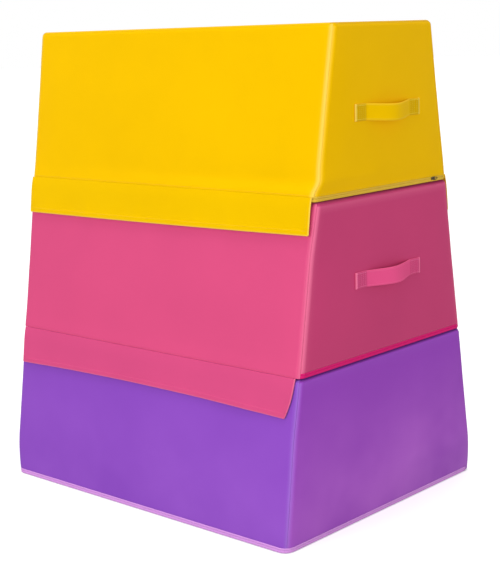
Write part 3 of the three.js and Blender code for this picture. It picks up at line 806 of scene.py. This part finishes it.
def repeat_tree():
    """Copies of one small rounded form along paths, each turned along the path and out of it."""
    tree = bpy.data.node_groups.new("along a path", "GeometryNodeTree")
    inputs = {"Paths": "Geometry", "Pitch": "Float", "Size": "Vector", "Material": "Material"}
    for label, kind in inputs.items():
        tree.interface.new_socket(label, in_out="INPUT", socket_type="NodeSocket" + kind)
    tree.interface.new_socket("Result", in_out="OUTPUT", socket_type="NodeSocketGeometry")

    def add(kind, settings=None, **sockets):
        made = tree.nodes.new(kind)
        for label, value in (settings or {}).items():
            setattr(made, label, value)
        for label, value in sockets.items():
            socket = made.inputs[label]
            if isinstance(value, bpy.types.NodeSocket):
                tree.links.new(value, socket)
            else:
                socket.default_value = value
        return made.outputs

    given = add("NodeGroupInput")
    curve = add("GeometryNodeMeshToCurve", Mesh=given["Paths"])["Curve"]
    even = add("GeometryNodeResampleCurve", {"mode": "LENGTH"}, Curve=curve, Length=given["Pitch"])
    form = add("GeometryNodeMeshUVSphere", Segments=6, Rings=4, Radius=0.5)["Mesh"]
    sized = add("GeometryNodeTransform", Geometry=form, Scale=given["Size"])["Geometry"]
    smooth = add("GeometryNodeSetShadeSmooth", Geometry=sized)["Geometry"]
    out = add("GeometryNodeInputNamedAttribute", {"data_type": "FLOAT_VECTOR"}, Name="out")["Attribute"]
    along = add("GeometryNodeInputTangent")["Tangent"]
    turned = add("FunctionNodeAlignRotationToVector", {"axis": "X"}, Vector=along)["Rotation"]
    upright = add("FunctionNodeAlignRotationToVector", {"axis": "Z", "pivot_axis": "X"},
                  Rotation=turned, Vector=out)["Rotation"]
    copies = add("GeometryNodeInstanceOnPoints", Points=even["Curve"], Instance=smooth,
                 Rotation=upright)["Instances"]
    real = add("GeometryNodeRealizeInstances", Geometry=copies)["Geometry"]
    last = add("GeometryNodeSetMaterial", Geometry=real, Material=given["Material"])["Geometry"]
    add("NodeGroupOutput", Result=last)
    return tree


REPEAT_TREE = repeat_tree()


def repeated(name, paths, pitch, size, material):
    """Rounded forms of one size along paths, each path given as its places and outward directions."""
    counts = [len(places) for places, _ in paths]
    points, out = (np.concatenate(parts) for parts in zip(*paths))
    ends = np.cumsum(counts)
    edges = [(step, step + 1) for end, count in zip(ends, counts) for step in range(end - count, end - 1)]
    piece = new_piece(name, points, [], edges)
    layer = piece.data.attributes.new("out", "FLOAT_VECTOR", "POINT")
    layer.data.foreach_set("vector", out.reshape(-1).astype(np.float32))
    along = piece.modifiers.new("along", "NODES")
    along.node_group = REPEAT_TREE
    values = {"Pitch": pitch, "Size": size, "Material": material}
    for item in REPEAT_TREE.interface.items_tree:
        if item.in_out == "INPUT" and item.name in values:
            along[item.identifier] = values[item.name]
    return applied(piece)


def zinc():
    """Dark plated zinc, polished on its edges by use."""
    finish = Finish("dark zinc", Metallic=0.9)
    cloud = finish.noise(260.0, 5.0)
    worn = ((finish.node("NewGeometry")["Pointiness"] - 0.5) * 9.0).held()
    colour = finish.blend(cloud, linear(50, 44, 30), linear(84, 74, 52))
    colour = finish.blend(worn, colour, linear(146, 136, 112))
    return finish.shows(Base_Color=colour, Roughness=0.26 + cloud * 0.25,
                        Normal=finish.bump(cloud, 0.2, 0.0001))


def pull_cord():
    """Braided cord in a warm orange."""
    finish = Finish("pull cord", Roughness=0.7)
    axes = finish.axes(finish.place)
    braid = ((axes["Z"] + axes["Y"]) * 6000.0).wave() * ((axes["Z"] - axes["Y"]) * 6000.0).wave()
    colour = finish.blend(braid * 0.5 + 0.5, linear(196, 92, 22), linear(240, 138, 40))
    return finish.shows(Base_Color=colour, Normal=finish.bump(braid, 0.5, 0.0002))


SHIELD_HALF = [(-0.0050, 0.0034), (0.0012, 0.0027), (0.0048, 0.0023), (0.0050, 0.0014)]
SHIELD_NOTCH = [(-0.0042, 0.0010), (-0.0030, 0.0), (-0.0042, -0.0010)]
SHIELD = [(x, -y) for x, y in SHIELD_HALF] + SHIELD_HALF[::-1] + SHIELD_NOTCH
NECK = [(0.0006, -0.0007), (0.0030, -0.0007), (0.0030, 0.0007), (0.0006, 0.0007)]
BRIDGE = [(-0.0030, 0, 0.0020), (-0.0026, 0, 0.0031), (-0.0010, 0, 0.0037), (0.0012, 0, 0.0037),
          (0.0028, 0, 0.0031), (0.0032, 0, 0.0020)]
BRIDGE_RADIUS, CORD_RADIUS, BAR_SIDES = 0.00055, 0.00062, 8
SLIDER_ROUNDING, SLIDER_LIFT = 0.00016, 0.0001


def slider(section, zip_band):
    """A slider: two shields with a neck between them, a bridge on the upper one, and a cord loop."""
    build = bmesh.new()

    def plate(places, low, high, slim=1.0):
        below = [build.verts.new((x, y, low)) for x, y in places]
        above = [build.verts.new((x * slim, y * slim, high)) for x, y in places]
        build.faces.new(below[::-1])
        build.faces.new(above)
        for one, two, three, four in zip(below, below[1:] + below[:1], above[1:] + above[:1], above):
            build.faces.new((one, two, three, four))

    def bar(points, radius):
        turns = [2 * math.pi * step / BAR_SIDES for step in range(BAR_SIDES)]
        rings = []
        for step, point in enumerate(points):
            along = Vector(points[min(step + 1, len(points) - 1)]) - Vector(points[max(step - 1, 0)])
            along.normalize()
            side = along.orthogonal() if abs(along.y) > 0.99 else along.cross((0, 1, 0))
            side.normalize()
            other = along.cross(side)
            rings.append([build.verts.new(Vector(point) + radius * (
                side * math.cos(turn) + other * math.sin(turn))) for turn in turns])
        for one, two in zip(rings, rings[1:]):
            for corners in zip(one, one[1:] + one[:1], two[1:] + two[:1], two):
                build.faces.new(corners)
        build.faces.new(rings[0][::-1])
        build.faces.new(rings[-1])

    plate(SHIELD, 0.0, 0.0010)
    plate([(x * 0.98, y * 0.96) for x, y in SHIELD], 0.0015, 0.0023, 0.94)
    plate(NECK, 0.0009, 0.0016)
    bar(BRIDGE, BRIDGE_RADIUS)
    metal = len(build.faces)
    turns = [2 * math.pi * step / 24 for step in range(25)]
    bar([(-0.0064 - 0.0052 * math.cos(turn), 0.0021 * math.sin(turn), 0.0027 - 0.0004 * math.cos(turn))
         for turn in turns], CORD_RADIUS)
    for number, face in enumerate(build.faces):
        face.material_index = int(number >= metal)
        face.smooth = True
    side = zip_band["side"]
    height = float(risen(section["floor"] + BAND_MIDDLE))
    y = half_width(section["floor"] + BAND_TOP) - zip_band["park"]
    face_x = LENGTH / 2 - SETTLE_DRAW_IN * settled(section, BAND_TOP) + SLIDER_LIFT
    x = side * face_x + float(twisted(section, side * LENGTH / 2, y, height))
    turned = Matrix(((0, 0, side, 0), (-1, 0, 0, 0), (0, side, 0, 0), (0, 0, 0, 1)))
    bmesh.ops.transform(build, matrix=Matrix.Translation((x, y, height)) @ turned, verts=build.verts)
    bmesh.ops.recalc_face_normals(build, faces=build.faces)
    mesh = bpy.data.meshes.new(section["name"] + "_slider")
    build.to_mesh(mesh)
    build.free()
    piece = bpy.data.objects.new(mesh.name, mesh)
    scene.collection.objects.link(piece)
    round_off = piece.modifiers.new("round off", "BEVEL")
    round_off.width, round_off.segments, round_off.limit_method = SLIDER_ROUNDING, 2, "ANGLE"
    return applied(piece)


zinc_finish, cord_finish = zinc(), pull_cord()
for section in SECTIONS:
    name, zip_band = section["name"], ZIPS[section["name"]]
    tape_finish = woven_tape(zip_band["slot"], zip_band["colour"])
    centre, normal = band_columns(section)
    for half, rows in TAPE_ROWS.items():
        height, depth = np.array(rows).T[..., None]
        outer, inner = (swollen(section, skin(section, centre, normal, depth + thickness, height))
                        for thickness in (0, TAPE_THICKNESS))
        # Painted shade on the lower tape at its floor side and beside the teeth, and on the upper tape
        # beside the teeth and where it is tucked behind the wall.
        groove = np.zeros(outer.shape[:2])
        groove[0 if half == "lower" else slice(5, None)] = 0.6
        groove[-1 if half == "lower" else 0] = 0.35
        band = closed_sheet(f"{name}_tape_{half}", outer, inner, groove=groove)
        finished(band, tape_finish, section["body"])
        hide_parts(f"{name}_zip_tape_{half}")
    line = swollen(section, skin(section, centre, normal, TOOTH_DEPTH, BAND_MIDDLE))
    out = np.pad(normal, ((0, 0), (0, 1)))
    teeth = repeated(name + "_zip_teeth", [(line, out)], TOOTH_PITCH, TOOTH_SIZE, tape_finish)
    finished(teeth, tape_finish, section["body"])
    pull = slider(section, zip_band)
    finished(pull, zinc_finish, name + "_zip_slider")
    pull.data.materials.append(cord_finish)
    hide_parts(name + "_zip_slider")


# The hook and loop strips. Under each flap a strip of loops is sewn to the section below, and a
# strip of hooks inside the flap presses into it, which ties the two sections together.
SIDE_LEAN = math.atan(SIDE_SLOPE)
OUTWARD = {"front": -1, "back": 1}
STRIP_HALF, STRIP_TOP, STRIP_BOTTOM = 0.350, 0.028, 0.053
STRIP_THICKNESS, STRIP_ROUNDING = 0.0008, 0.0003
STRIP_RIM, STRIP_MARGIN, STRIP_STEP = 0.0004, 0.0025, 0.004
LOOP_STANDOFF, HOOK_STANDOFF = 0.0003, 0.0014
NAP_MIDDLE, NAP_HALF = 0.0125, 0.0105
STRIP_STITCH_PITCH, STRIP_STITCH = 0.0036, (0.0027, 0.0006, 0.0004)


def hanging(section, hugged, side, along, fallen, standoff):
    """Places in a flap's frame: along the side, down its slope from the flap's seam, and out.
    They share the twist of the section that they hug."""
    turn = OUTWARD[side]
    height = section["floor"] + FLAP_SEAMS[section["name"]]
    out = fallen * math.sin(SIDE_LEAN) + standoff * math.cos(SIDE_LEAN)
    x, y = -turn * along, turn * (half_width(height) + out)
    z = risen(height - fallen * math.cos(SIDE_LEAN) + standoff * math.sin(SIDE_LEAN))
    askew = twisted(hugged, x, y, z)
    return np.stack(np.broadcast_arrays(x + askew, y + askew, z), axis=-1)


def nap(name, hooked):
    """Hook tape has rows of tiny stiff hooks, loop tape a matted pile. Both have a plain border."""
    finish = Finish(name, Sheen_Weight=0.4, Sheen_Roughness=0.6)
    axes = finish.axes(finish.node("UVMap", {"uv_map": "cut"})["UV"])
    inside = ((NAP_HALF - finish.maths("ABSOLUTE", axes["Y"] - NAP_MIDDLE)) * 2500.0).held()
    if hooked:
        dots = finish.node("TexVoronoi", Vector=finish.place, Scale=640.0, Randomness=0.25)["Distance"]
        pile = (1 - dots * 1.9).held()
        low, high = linear(198, 198, 196), linear(232, 232, 230)
    else:
        pile = finish.noise(1100.0, 4.0, Distortion=1.6)
        low, high = linear(204, 203, 199), linear(238, 237, 233)
    border = (((axes["X"] + axes["Y"]) * 5200.0).wave() * 0.5 + 0.5) * (1 - inside)
    colour = finish.blend(pile * inside + border * 0.6, low, high)
    normal = finish.bump(pile * inside + border * 0.3, 0.8, 0.0004)
    return finish.shows(Base_Color=colour, Roughness=0.85 + pile * 0.1, Normal=normal)


def thread(name, colour):
    """Twisted sewing thread: fine slanting lines and a soft shine."""
    full = linear(*colour)
    finish = Finish(name, Sheen_Weight=0.2)
    axes = finish.axes(finish.place)
    twist = ((axes["X"] + axes["Y"] + axes["Z"]) * 14000.0).wave() * 0.5 + 0.5
    tone = finish.noise(45.0, 2.0)
    colour = finish.blend((twist * 0.5 + tone * 0.6).held(), toned(full, 0.7, 0.66, 0.72), full)
    return finish.shows(Base_Color=colour, Roughness=0.5 + tone * 0.15,
                        Normal=finish.bump(twist, 0.4, 0.0001))


def strip_grids(section, below, hugged, side, standoff):
    """The outer and inner grids of one strip, moved along with the section that it lies on."""
    along = np.array(spaced(-STRIP_HALF, STRIP_HALF, PANEL_STEP))
    middle = spaced(STRIP_BOTTOM - STRIP_MARGIN, STRIP_TOP + STRIP_MARGIN, STRIP_STEP)
    rims = [STRIP_BOTTOM, STRIP_BOTTOM - STRIP_RIM], [STRIP_TOP + STRIP_RIM, STRIP_TOP]
    fallen = np.array(rims[0] + middle + rims[1])[:, None]
    rounding = STRIP_ROUNDING * (lines_in(len(fallen)) == 0)[:, None]
    return [swollen(below, hanging(section, hugged, side, along, fallen, off))
            for off in (standoff + STRIP_THICKNESS - rounding, standoff)]


hook_finish, loop_finish = nap("hook tape", True), nap("loop tape", False)
strip_thread = thread("strip thread", (214, 214, 210))
for below, section in zip(SECTIONS, SECTIONS[1:]):
    for side in OUTWARD:
        strips = (("hook", section, f"{section['name']}_flap_{side}", HOOK_STANDOFF, hook_finish, -1),
                  ("loop", below, below["body"], LOOP_STANDOFF, loop_finish, 1))
        for kind, owner, body, standoff, finish, facing in strips:
            outer, inner = strip_grids(section, below, owner, side, standoff)
            name = f"{owner['name']}_{kind}_{side}"
            strip = closed_sheet(name, outer, inner)
            finished(strip, finish, body)
            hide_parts(f"{owner['name']}_{kind}_strip_{side}")
            face = outer if facing > 0 else inner
            out = face_normals(outer) * facing
            seams = repeated(name + "_stitches", [(face[row], out[row]) for row in (2, len(face) - 3)],
                             STRIP_STITCH_PITCH, STRIP_STITCH, strip_thread)
            finished(seams, strip_thread, body)


# The flaps. Each is cut from the cover's own fabric, turned over into a hem at its lower edge and
# ends, and sewn along its upper edge to the wrap. It hangs over the joint to the section below.
FLAP_THICKNESS, HEM_THICKNESS = 0.0012, 0.0006
FLAP_START, FLAP_STANDOFF, FLAP_RISE, FLAP_LOOSE = 0.0003, 0.0025, 0.026, 0.060
FLAP_CORNER = 0.003
FLAP_TUCK, FLAP_CORNER_LOSS, FLAP_BEND = 0.002, 0.001, 0.011
FLAP_RIMS, FLAP_STEP = (0, 0.0004, 0.0012, 0.0030, 0.0055, 0.0080), 0.006
HEM_LINES = (0, 0.0002, 0.0008, 0.0022, 0.0044, 0.0066, 0.0084, 0.0090, 0.0098)
HEM_SHARES = (1, 1, 1, 1, 1, 1, 1, 0.5)
UPPER_SHARES = spaced(1, 0.09, 0.085)[1:] + [0.055, 0.032, 0.009, 0]
FLAP_ROUNDING = (0.0009, 0.0005, 0.0001)
SIDE_HEM, SIDE_HEM_SLOPE, SIDE_HEM_SHARE = 0.0092, 0.0012, 0.8
WAVE_LENGTH, WAVE_SIZE, FOLD_SIZE = 0.185, 0.0006, 0.0016
STITCH_PITCH, STITCH = 0.0034, (0.0026, 0.00055, 0.0004)
FLAPS = {
    "middle": {"half": 0.365, "slants": (0.002, 0.015), "drops": (0.070, 0.063, 0.069),
               "folds": ((-0.24, 0.020, 0.5), (0.06, 0.024, -0.4), (0.26, 0.018, 0.6))},
    "top": {"half": 0.370, "slants": (0.002, -0.001), "drops": (0.071, 0.069, 0.064),
            "folds": ((-0.20, 0.020, 0.8), (-0.06, 0.015, 0.6), (0.10, 0.011, 0.6), (0.185, 0.013, 0.7))},
}


def flap_grids(section, below, side):
    """The outer and inner grids of a flap, from its lower edge up to its seam, and its look."""
    cut = FLAPS[section["name"]]
    half = cut["half"]
    place = lines_across(half, FLAP_RIMS, FLAP_STEP)
    from_end = half - np.abs(place)
    share = (place + half) / (2 * half)
    turn = 2 * share - 1
    left, middle, right = cut["drops"]
    drop = middle + (right - left) / 2 * turn + ((left + right) / 2 - middle) * turn**2
    short = np.clip(FLAP_CORNER - from_end, 0, FLAP_CORNER)
    drop = drop - (FLAP_CORNER - np.sqrt(FLAP_CORNER**2 - short**2))
    fallen = np.stack([drop - line for line in HEM_LINES]
                      + [(drop - HEM_LINES[-1]) * part for part in UPPER_SHARES])
    rows = len(fallen)
    slant_left, slant_right = cut["slants"]
    low = -half + slant_left * (fallen / drop) ** 2
    high = half - slant_right * (fallen / drop) ** 2
    along = low + (high - low) * share
    lift = np.clip(fallen / FLAP_RISE, 0, 1)
    standoff = FLAP_START + (FLAP_STANDOFF - FLAP_START) * lift * (1.5 - 0.5 * lift * lift)
    ripple = WAVE_SIZE * (1 + np.sin(along / WAVE_LENGTH * 2 * math.pi))
    for where, width, size in cut["folds"]:
        off = (-OUTWARD[side] * along - where) / width
        ripple = ripple + FOLD_SIZE * size * np.exp(-(off**2))
    standoff = standoff + np.clip((fallen - FLAP_RISE) / (FLAP_LOOSE - FLAP_RISE), 0, 1.2) * ripple
    hem = np.array([*HEM_SHARES] + [0] * (rows - len(HEM_SHARES)))[:, None]
    side_hem = SIDE_HEM_SHARE * np.clip((SIDE_HEM - from_end) / SIDE_HEM_SLOPE, 0, 1)
    thick = FLAP_THICKNESS + HEM_THICKNESS * np.maximum(hem, side_hem)
    rim = np.array([*FLAP_ROUNDING] + [0] * (rows - 4) + [0.0002])[:, None]
    end_rim = np.clip(1 - from_end / 0.0012, 0, 1) ** 2 * 0.0008
    grids = [swollen(below, hanging(section, section, side, along, fallen, off))
             for off in (standoff + thick - np.maximum(rim, end_rim), standoff)]
    # A painted highlight along the hem's lower edge and the ends; painted shade along the seam at the top
    # and along the hem's upper line.
    edge = np.clip(1 - np.minimum(fallen.max(axis=0) - fallen, from_end) / 0.0024, 0, 1)
    groove = np.zeros(fallen.shape)
    groove[-1] = 0.1
    groove[len(HEM_LINES) - 1] = 0.05
    return *grids, edge, groove


for section in SECTIONS:
    cover = COVERS[section["name"]]
    cover["thread"] = thread(section["name"] + " thread", [max(0, value - 4) for value in cover["colour"]])

for below, section in zip(SECTIONS, SECTIONS[1:]):
    name = section["name"]
    cover, cut = COVERS[name], FLAPS[name]
    for side, turn in OUTWARD.items():
        outer, inner, edge, groove = flap_grids(section, below, side)
        body = f"{name}_flap_{side}"
        flap = closed_sheet(body + "_cloth", outer, inner, edge=edge, groove=groove)
        flap.data.materials.append(cover["flap finish"])
        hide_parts(body)
        height = float(risen(section["floor"] + FLAP_SEAMS[name]))
        start = Vector((0, turn * half_width(height), height))
        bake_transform(flap)
        max(cut["drops"]) + FLAP_TUCK
        2 * cut["half"]
        2 * cut["half"] * (sum(cut["drops"]) / 3 - FLAP_CORNER_LOSS)
        out = face_normals(outer)
        lines = [(6, slice(None)), (slice(7, -7), 5), (slice(7, -7), -6)]
        seams = repeated(body + "_stitches", [(outer[line], out[line]) for line in lines],
                         STITCH_PITCH, STITCH, cover["thread"])
        finished(seams, cover["thread"], body)


# The seams of the covers. The wrap is top-stitched beside both end seams, and a row runs above the
# zip and above each flap, in thread of the cloth's own colour.
for section in SECTIONS:
    name, cover = section["name"], COVERS[section["name"]]
    inner = slice(6, -6)
    rows = [("wrap", (slice(3, -2), 4)), ("wrap", (slice(3, -2), -5)), ("wrap", (2, inner)),
            ("wrap", (-3, inner)), ("end_left", (5, inner)), ("end_right", (5, inner))]
    paths = [tuple(grid[line] for grid in section[panel]) for panel, line in rows]
    seams = repeated(name + "_seam_stitches", paths, STITCH_PITCH, STITCH, cover["thread"])
    finished(seams, cover["thread"], section["body"])


# The handles. Each is one length of ribbed webbing across an end. Its two ends are folded under and
# sewn flat with a box and bars, and the stretch between them stands off in a bow for the hand.
WEBBING_HALF, WEBBING_THICKNESS, WEBBING_STANDOFF = 0.015, 0.002, 0.0003
BOW_LENGTH, TAB_END = 0.130, 0.0985
BOW_BEND, TAB_LIFT = 0.4, 0.0006
ALONG_RIMS, ALONG_STEP = (0, 0.0003, 0.0010, 0.0026, 0.0050), 0.0026
ACROSS_RIMS, ACROSS_STEP = (0, 0.0003, 0.0011, 0.0028, 0.0050), 0.0025
FOLD_END, FOLD_SLOPE, FOLD_THICKNESS, FOLD_LINE = 0.0125, 0.001, 0.0009, 0.0122
BOX_NEAR, BOX_FAR, BOX_HALF, BARS = 0.0700, 0.0940, 0.0118, (0.0760, 0.0820, 0.0880)
BOX_STITCH_PITCH, BOX_STITCH, BOX_STITCH_LIFT = 0.0030, (0.0025, 0.0010, 0.0006), 0.0001
BEND_START, BEND_END = 0.3805, 0.3900
THREAD_PALER = 26
# Each handle's webbing colour. The pink is set paler than the pink cloth: painted light for the bright
# flank of the bow.
HANDLES = {
    "middle": {"slot": "webbing_pink", "colour": (243, 90, 146), "height": 0.1505, "shift": 0.0030,
               "rise": 0.0170, "sag": 0.0012, "tilt": 0.0030},
    "top": {"slot": "webbing_yellow", "colour": (255, 204, 0), "height": 0.1456, "shift": 0.0042,
            "rise": 0.0195, "sag": 0.0038, "tilt": 0.0012},
}


def ribbed_webbing(name, colour):
    """Polypropylene webbing: slanting ribs that turn at the middle, and a tight cord at each edge."""
    full = linear(*colour)
    finish = Finish(name, Specular_IOR_Level=0.1, Specular_Tint=full)
    axes = finish.axes(finish.node("UVMap", {"uv_map": "cut"})["UV"])
    across = axes["Y"]
    fold = finish.maths("PINGPONG", across, 0.0075)
    rib = ((axes["X"] + fold * 0.8) * (2 * math.pi / 0.0022)).wave() * 0.5 + 0.5
    cords = (across * (2 * math.pi / 0.0016)).wave() * 0.5 + 0.5
    from_edge = finish.maths("PINGPONG", across, 0.0155)
    line = (1 - finish.maths("ABSOLUTE", from_edge - 0.0032) * 1400.0).held()
    fuzz = finish.noise(900.0, 3.0)
    mask = (rib * 0.45 + cords * 0.25 + finish.noise(30.0, 4.0) * 0.4).held()
    colour = finish.blend(mask, toned(full, 0.92, 0.9, 0.92), full)
    # Painted shade where the shade layer says: the fold and the tabs.
    colour = finish.blend(finish.layer("groove").held(), colour, toned(full, 0.3, 0.24, 0.3))
    # Paler cords near the edges, and a painted highlight where the edge layer says, on rims and ends.
    colour = finish.blend((line * 0.35 + finish.layer("edge")).held(), colour, paler(full, 0.12))
    normal = finish.bump(rib * 0.8 + cords * 0.4 + fuzz * 0.2 + line * 0.5, 0.6, 0.0003)
    return finish.shows(Base_Color=colour, Roughness=0.52 + fuzz * 0.2, Normal=normal)


def strap_line(handle, along):
    """How far the webbing's middle stands off the end along a handle, and how steeply it rises."""
    share = 2 * along / BOW_LENGTH
    bend, full = np.sqrt(share**2 + BOW_BEND**2), math.sqrt(1 + BOW_BEND**2)
    bow = handle["rise"] * (full - bend) / (full - BOW_BEND) / TAB_LIFT
    rise = WEBBING_STANDOFF + WEBBING_THICKNESS / 2 + TAB_LIFT * np.logaddexp(0, bow)
    steep = -2 * handle["rise"] * share / (bend * (full - BOW_BEND) * BOW_LENGTH)
    return rise, steep / (1 + np.exp(-bow))


def strap_place(section, handle, end, along, across, off):
    """Places on a handle's webbing: along the strap, across it, and off its middle layer."""
    rise, slope = strap_line(handle, along)
    steep = np.sqrt(1 + slope**2)
    bow = np.clip(rise - WEBBING_STANDOFF - WEBBING_THICKNESS / 2, 0, None) / handle["rise"]
    out = rise + off / steep - handle["tilt"] * bow * across / WEBBING_HALF
    y = handle["shift"] + along - off * slope / steep
    z = section["floor"] + handle["height"] + across - handle["sag"] * bow
    x = end * (LENGTH / 2 + out) + twisted(section, end * LENGTH / 2, y, z)
    return swollen(section, np.stack([x, y, z], axis=-1))


def folded(from_end):
    """How much thicker the strap is where its end is folded under."""
    return np.clip((FOLD_END - from_end) / FOLD_SLOPE, 0, 1) * FOLD_THICKNESS


def strap_grids(section, handle, end):
    """The outer and inner grids of a strap, its turned ends a little thicker, and its look."""
    along = lines_across(TAB_END, ALONG_RIMS, ALONG_STEP) * end
    y, z = np.meshgrid(along, lines_across(WEBBING_HALF, ACROSS_RIMS, ACROSS_STEP))
    from_end, from_edge = TAB_END - np.abs(y), WEBBING_HALF - np.abs(z)
    rim = np.maximum(np.clip(1 - from_end / 0.0010, 0, 1) ** 2, np.clip(1 - from_edge / 0.0012, 0, 1) ** 2)
    half, thick = WEBBING_THICKNESS / 2, WEBBING_THICKNESS / 2 + folded(from_end)
    outer, inner = (strap_place(section, handle, end, y, z, off)
                    for off in (thick - rim * thick * 0.85, rim * half * 0.85 - half))
    # A painted highlight on the strap's rims and folded ends; painted shade along the fold line and over
    # the flat tabs, which lie darker than the lit bow.
    edge = np.maximum(rim * 0.4, np.clip((0.0042 - from_end) / 0.0010, 0, 1) * 0.85)
    tab_shade = np.clip((TAB_END - BOW_LENGTH / 2 - from_end) / 0.003, 0, 1) * 0.26
    groove = np.maximum(np.clip(1 - np.abs(from_end - FOLD_LINE) / 0.0008, 0, 1) * 0.45, tab_shade)
    return outer, inner, edge, groove


def box_stitches(section, handle, end, tab):
    """The paths of a tab's box and its bars, with their outward directions."""
    corners = [(BOX_NEAR, -1), (BOX_FAR, -1), (BOX_FAR, 1), (BOX_NEAR, 1), (BOX_NEAR, -1)]
    lines = list(zip(corners, corners[1:])) + [((bar, -1), (bar, 1)) for bar in BARS]
    paths = []
    for one, two in lines:
        y, z = np.linspace(one, two, 9).T * np.array([[tab], [BOX_HALF]])
        off = WEBBING_THICKNESS / 2 + folded(TAB_END - np.abs(y)) + BOX_STITCH_LIFT
        paths.append((strap_place(section, handle, end, y, z, off), np.tile([float(end), 0, 0], (9, 1))))
    return paths


for section in SECTIONS[1:]:
    name, handle = section["name"], HANDLES[section["name"]]
    strap_finish = ribbed_webbing(handle["slot"], handle["colour"])
    strap_thread = thread(name + " handle thread",
                          [min(255, value + THREAD_PALER) for value in handle["colour"]])
    for end, side in ((-1, "left"), (1, "right")):
        outer, inner, edge, groove = strap_grids(section, handle, end)
        strap = closed_sheet(f"{name}_strap_{side}", outer, inner, edge=edge, groove=groove)
        strap.data.materials.append(strap_finish)
        prefix = f"{name}_handle_{side}"
        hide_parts(prefix + "_tab_front", prefix + "_tab_back", prefix + "_grip")
        height = section["floor"] + handle["height"]
        end * BEND_START
        end * BEND_END
        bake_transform(strap)
        rise, slope = strap_line(handle, np.linspace(-TAB_END, TAB_END, 400))
        run = float(np.sqrt(1 + slope**2).mean() * 2 * TAB_END)
        paths = [path for tab in (-1, 1) for path in box_stitches(section, handle, end, tab)]
        seams = repeated(f"{name}_strap_{side}_stitches", paths, BOX_STITCH_PITCH, BOX_STITCH, strap_thread)
        finished(seams, strap_thread, section["body"])


# The studio. A pale floor, soft light from the front left, a weaker fill on the end, and a tall
# softbox beside the camera that draws the bright line down the near edge.
FLOOR_HALF, FLOOR_DROP = 30, -0.0005
AMBIENT = 0.46
SOFTBOXES = {
    "key": ((0.2, -5.2, 1.6), (0, -0.2, 0.45), (3.2, 2.6), 107),
    "fill": ((3.6, -0.6, 0.9), (0.37, 0, 0.45), (1.8, 2.0), 26),
    "edge": ((2.4, -2.8, 0.7), (0.37, -0.2, 0.45), (0.4, 2.0), 10),
}
OVERHEAD_HEIGHT, OVERHEAD_STRENGTH, OVERHEAD_ANGLE = 4, 1.5, math.radians(30)

corners = np.array([(-1, -1), (1, -1), (1, 1), (-1, 1)]) * FLOOR_HALF
ground = new_piece("floor", np.pad(corners, ((0, 0), (0, 1)), constant_values=0) * 1.0
                   + (0, 0, FLOOR_DROP), [(0, 1, 2, 3)])
paper = Finish("white floor", Roughness=0.9, Emission_Strength=1.0)
seen = paper.node("LightPath")["Is Camera Ray"]
ground.data.materials.append(paper.shows(
    Base_Color=paper.blend(seen, (0.42, 0.42, 0.42, 1), (0.90, 0.90, 0.90, 1)),
    Emission_Color=paper.blend(seen, (0, 0, 0, 1), (0.34, 0.34, 0.34, 1))))

world = bpy.data.worlds.new("studio")
scene.world = world
world.use_nodes = True
nodes, links = world.node_tree.nodes, world.node_tree.links
background = nodes["Background"]
background.inputs["Color"].default_value = (1, 1, 1, 1)
rays = nodes.new("ShaderNodeLightPath")
bright, ambient = nodes.new("ShaderNodeMath"), nodes.new("ShaderNodeMath")
bright.operation = ambient.operation = "MAXIMUM"
ambient.inputs[1].default_value = AMBIENT
links.new(rays.outputs["Is Camera Ray"], bright.inputs[0])
links.new(rays.outputs["Is Transmission Ray"], bright.inputs[1])
links.new(bright.outputs[0], ambient.inputs[0])
links.new(ambient.outputs[0], background.inputs["Strength"])

for name, (place, target, size, power) in SOFTBOXES.items():
    softbox = bpy.data.lights.new(name, "AREA")
    softbox.shape, softbox.size, softbox.size_y = "RECTANGLE", *size
    softbox.energy = power
    lamp = bpy.data.objects.new(name, softbox)
    facing = (Vector(target) - Vector(place)).to_track_quat("-Z", "Y").to_matrix().to_4x4()
    lamp.matrix_world = Matrix.Translation(place) @ facing
    scene.collection.objects.link(lamp)

overhead = bpy.data.lights.new("overhead", "SUN")
overhead.energy, overhead.angle = OVERHEAD_STRENGTH, OVERHEAD_ANGLE
lamp = bpy.data.objects.new("overhead", overhead)
lamp.location = (0, 0, OVERHEAD_HEIGHT)
scene.collection.objects.link(lamp)
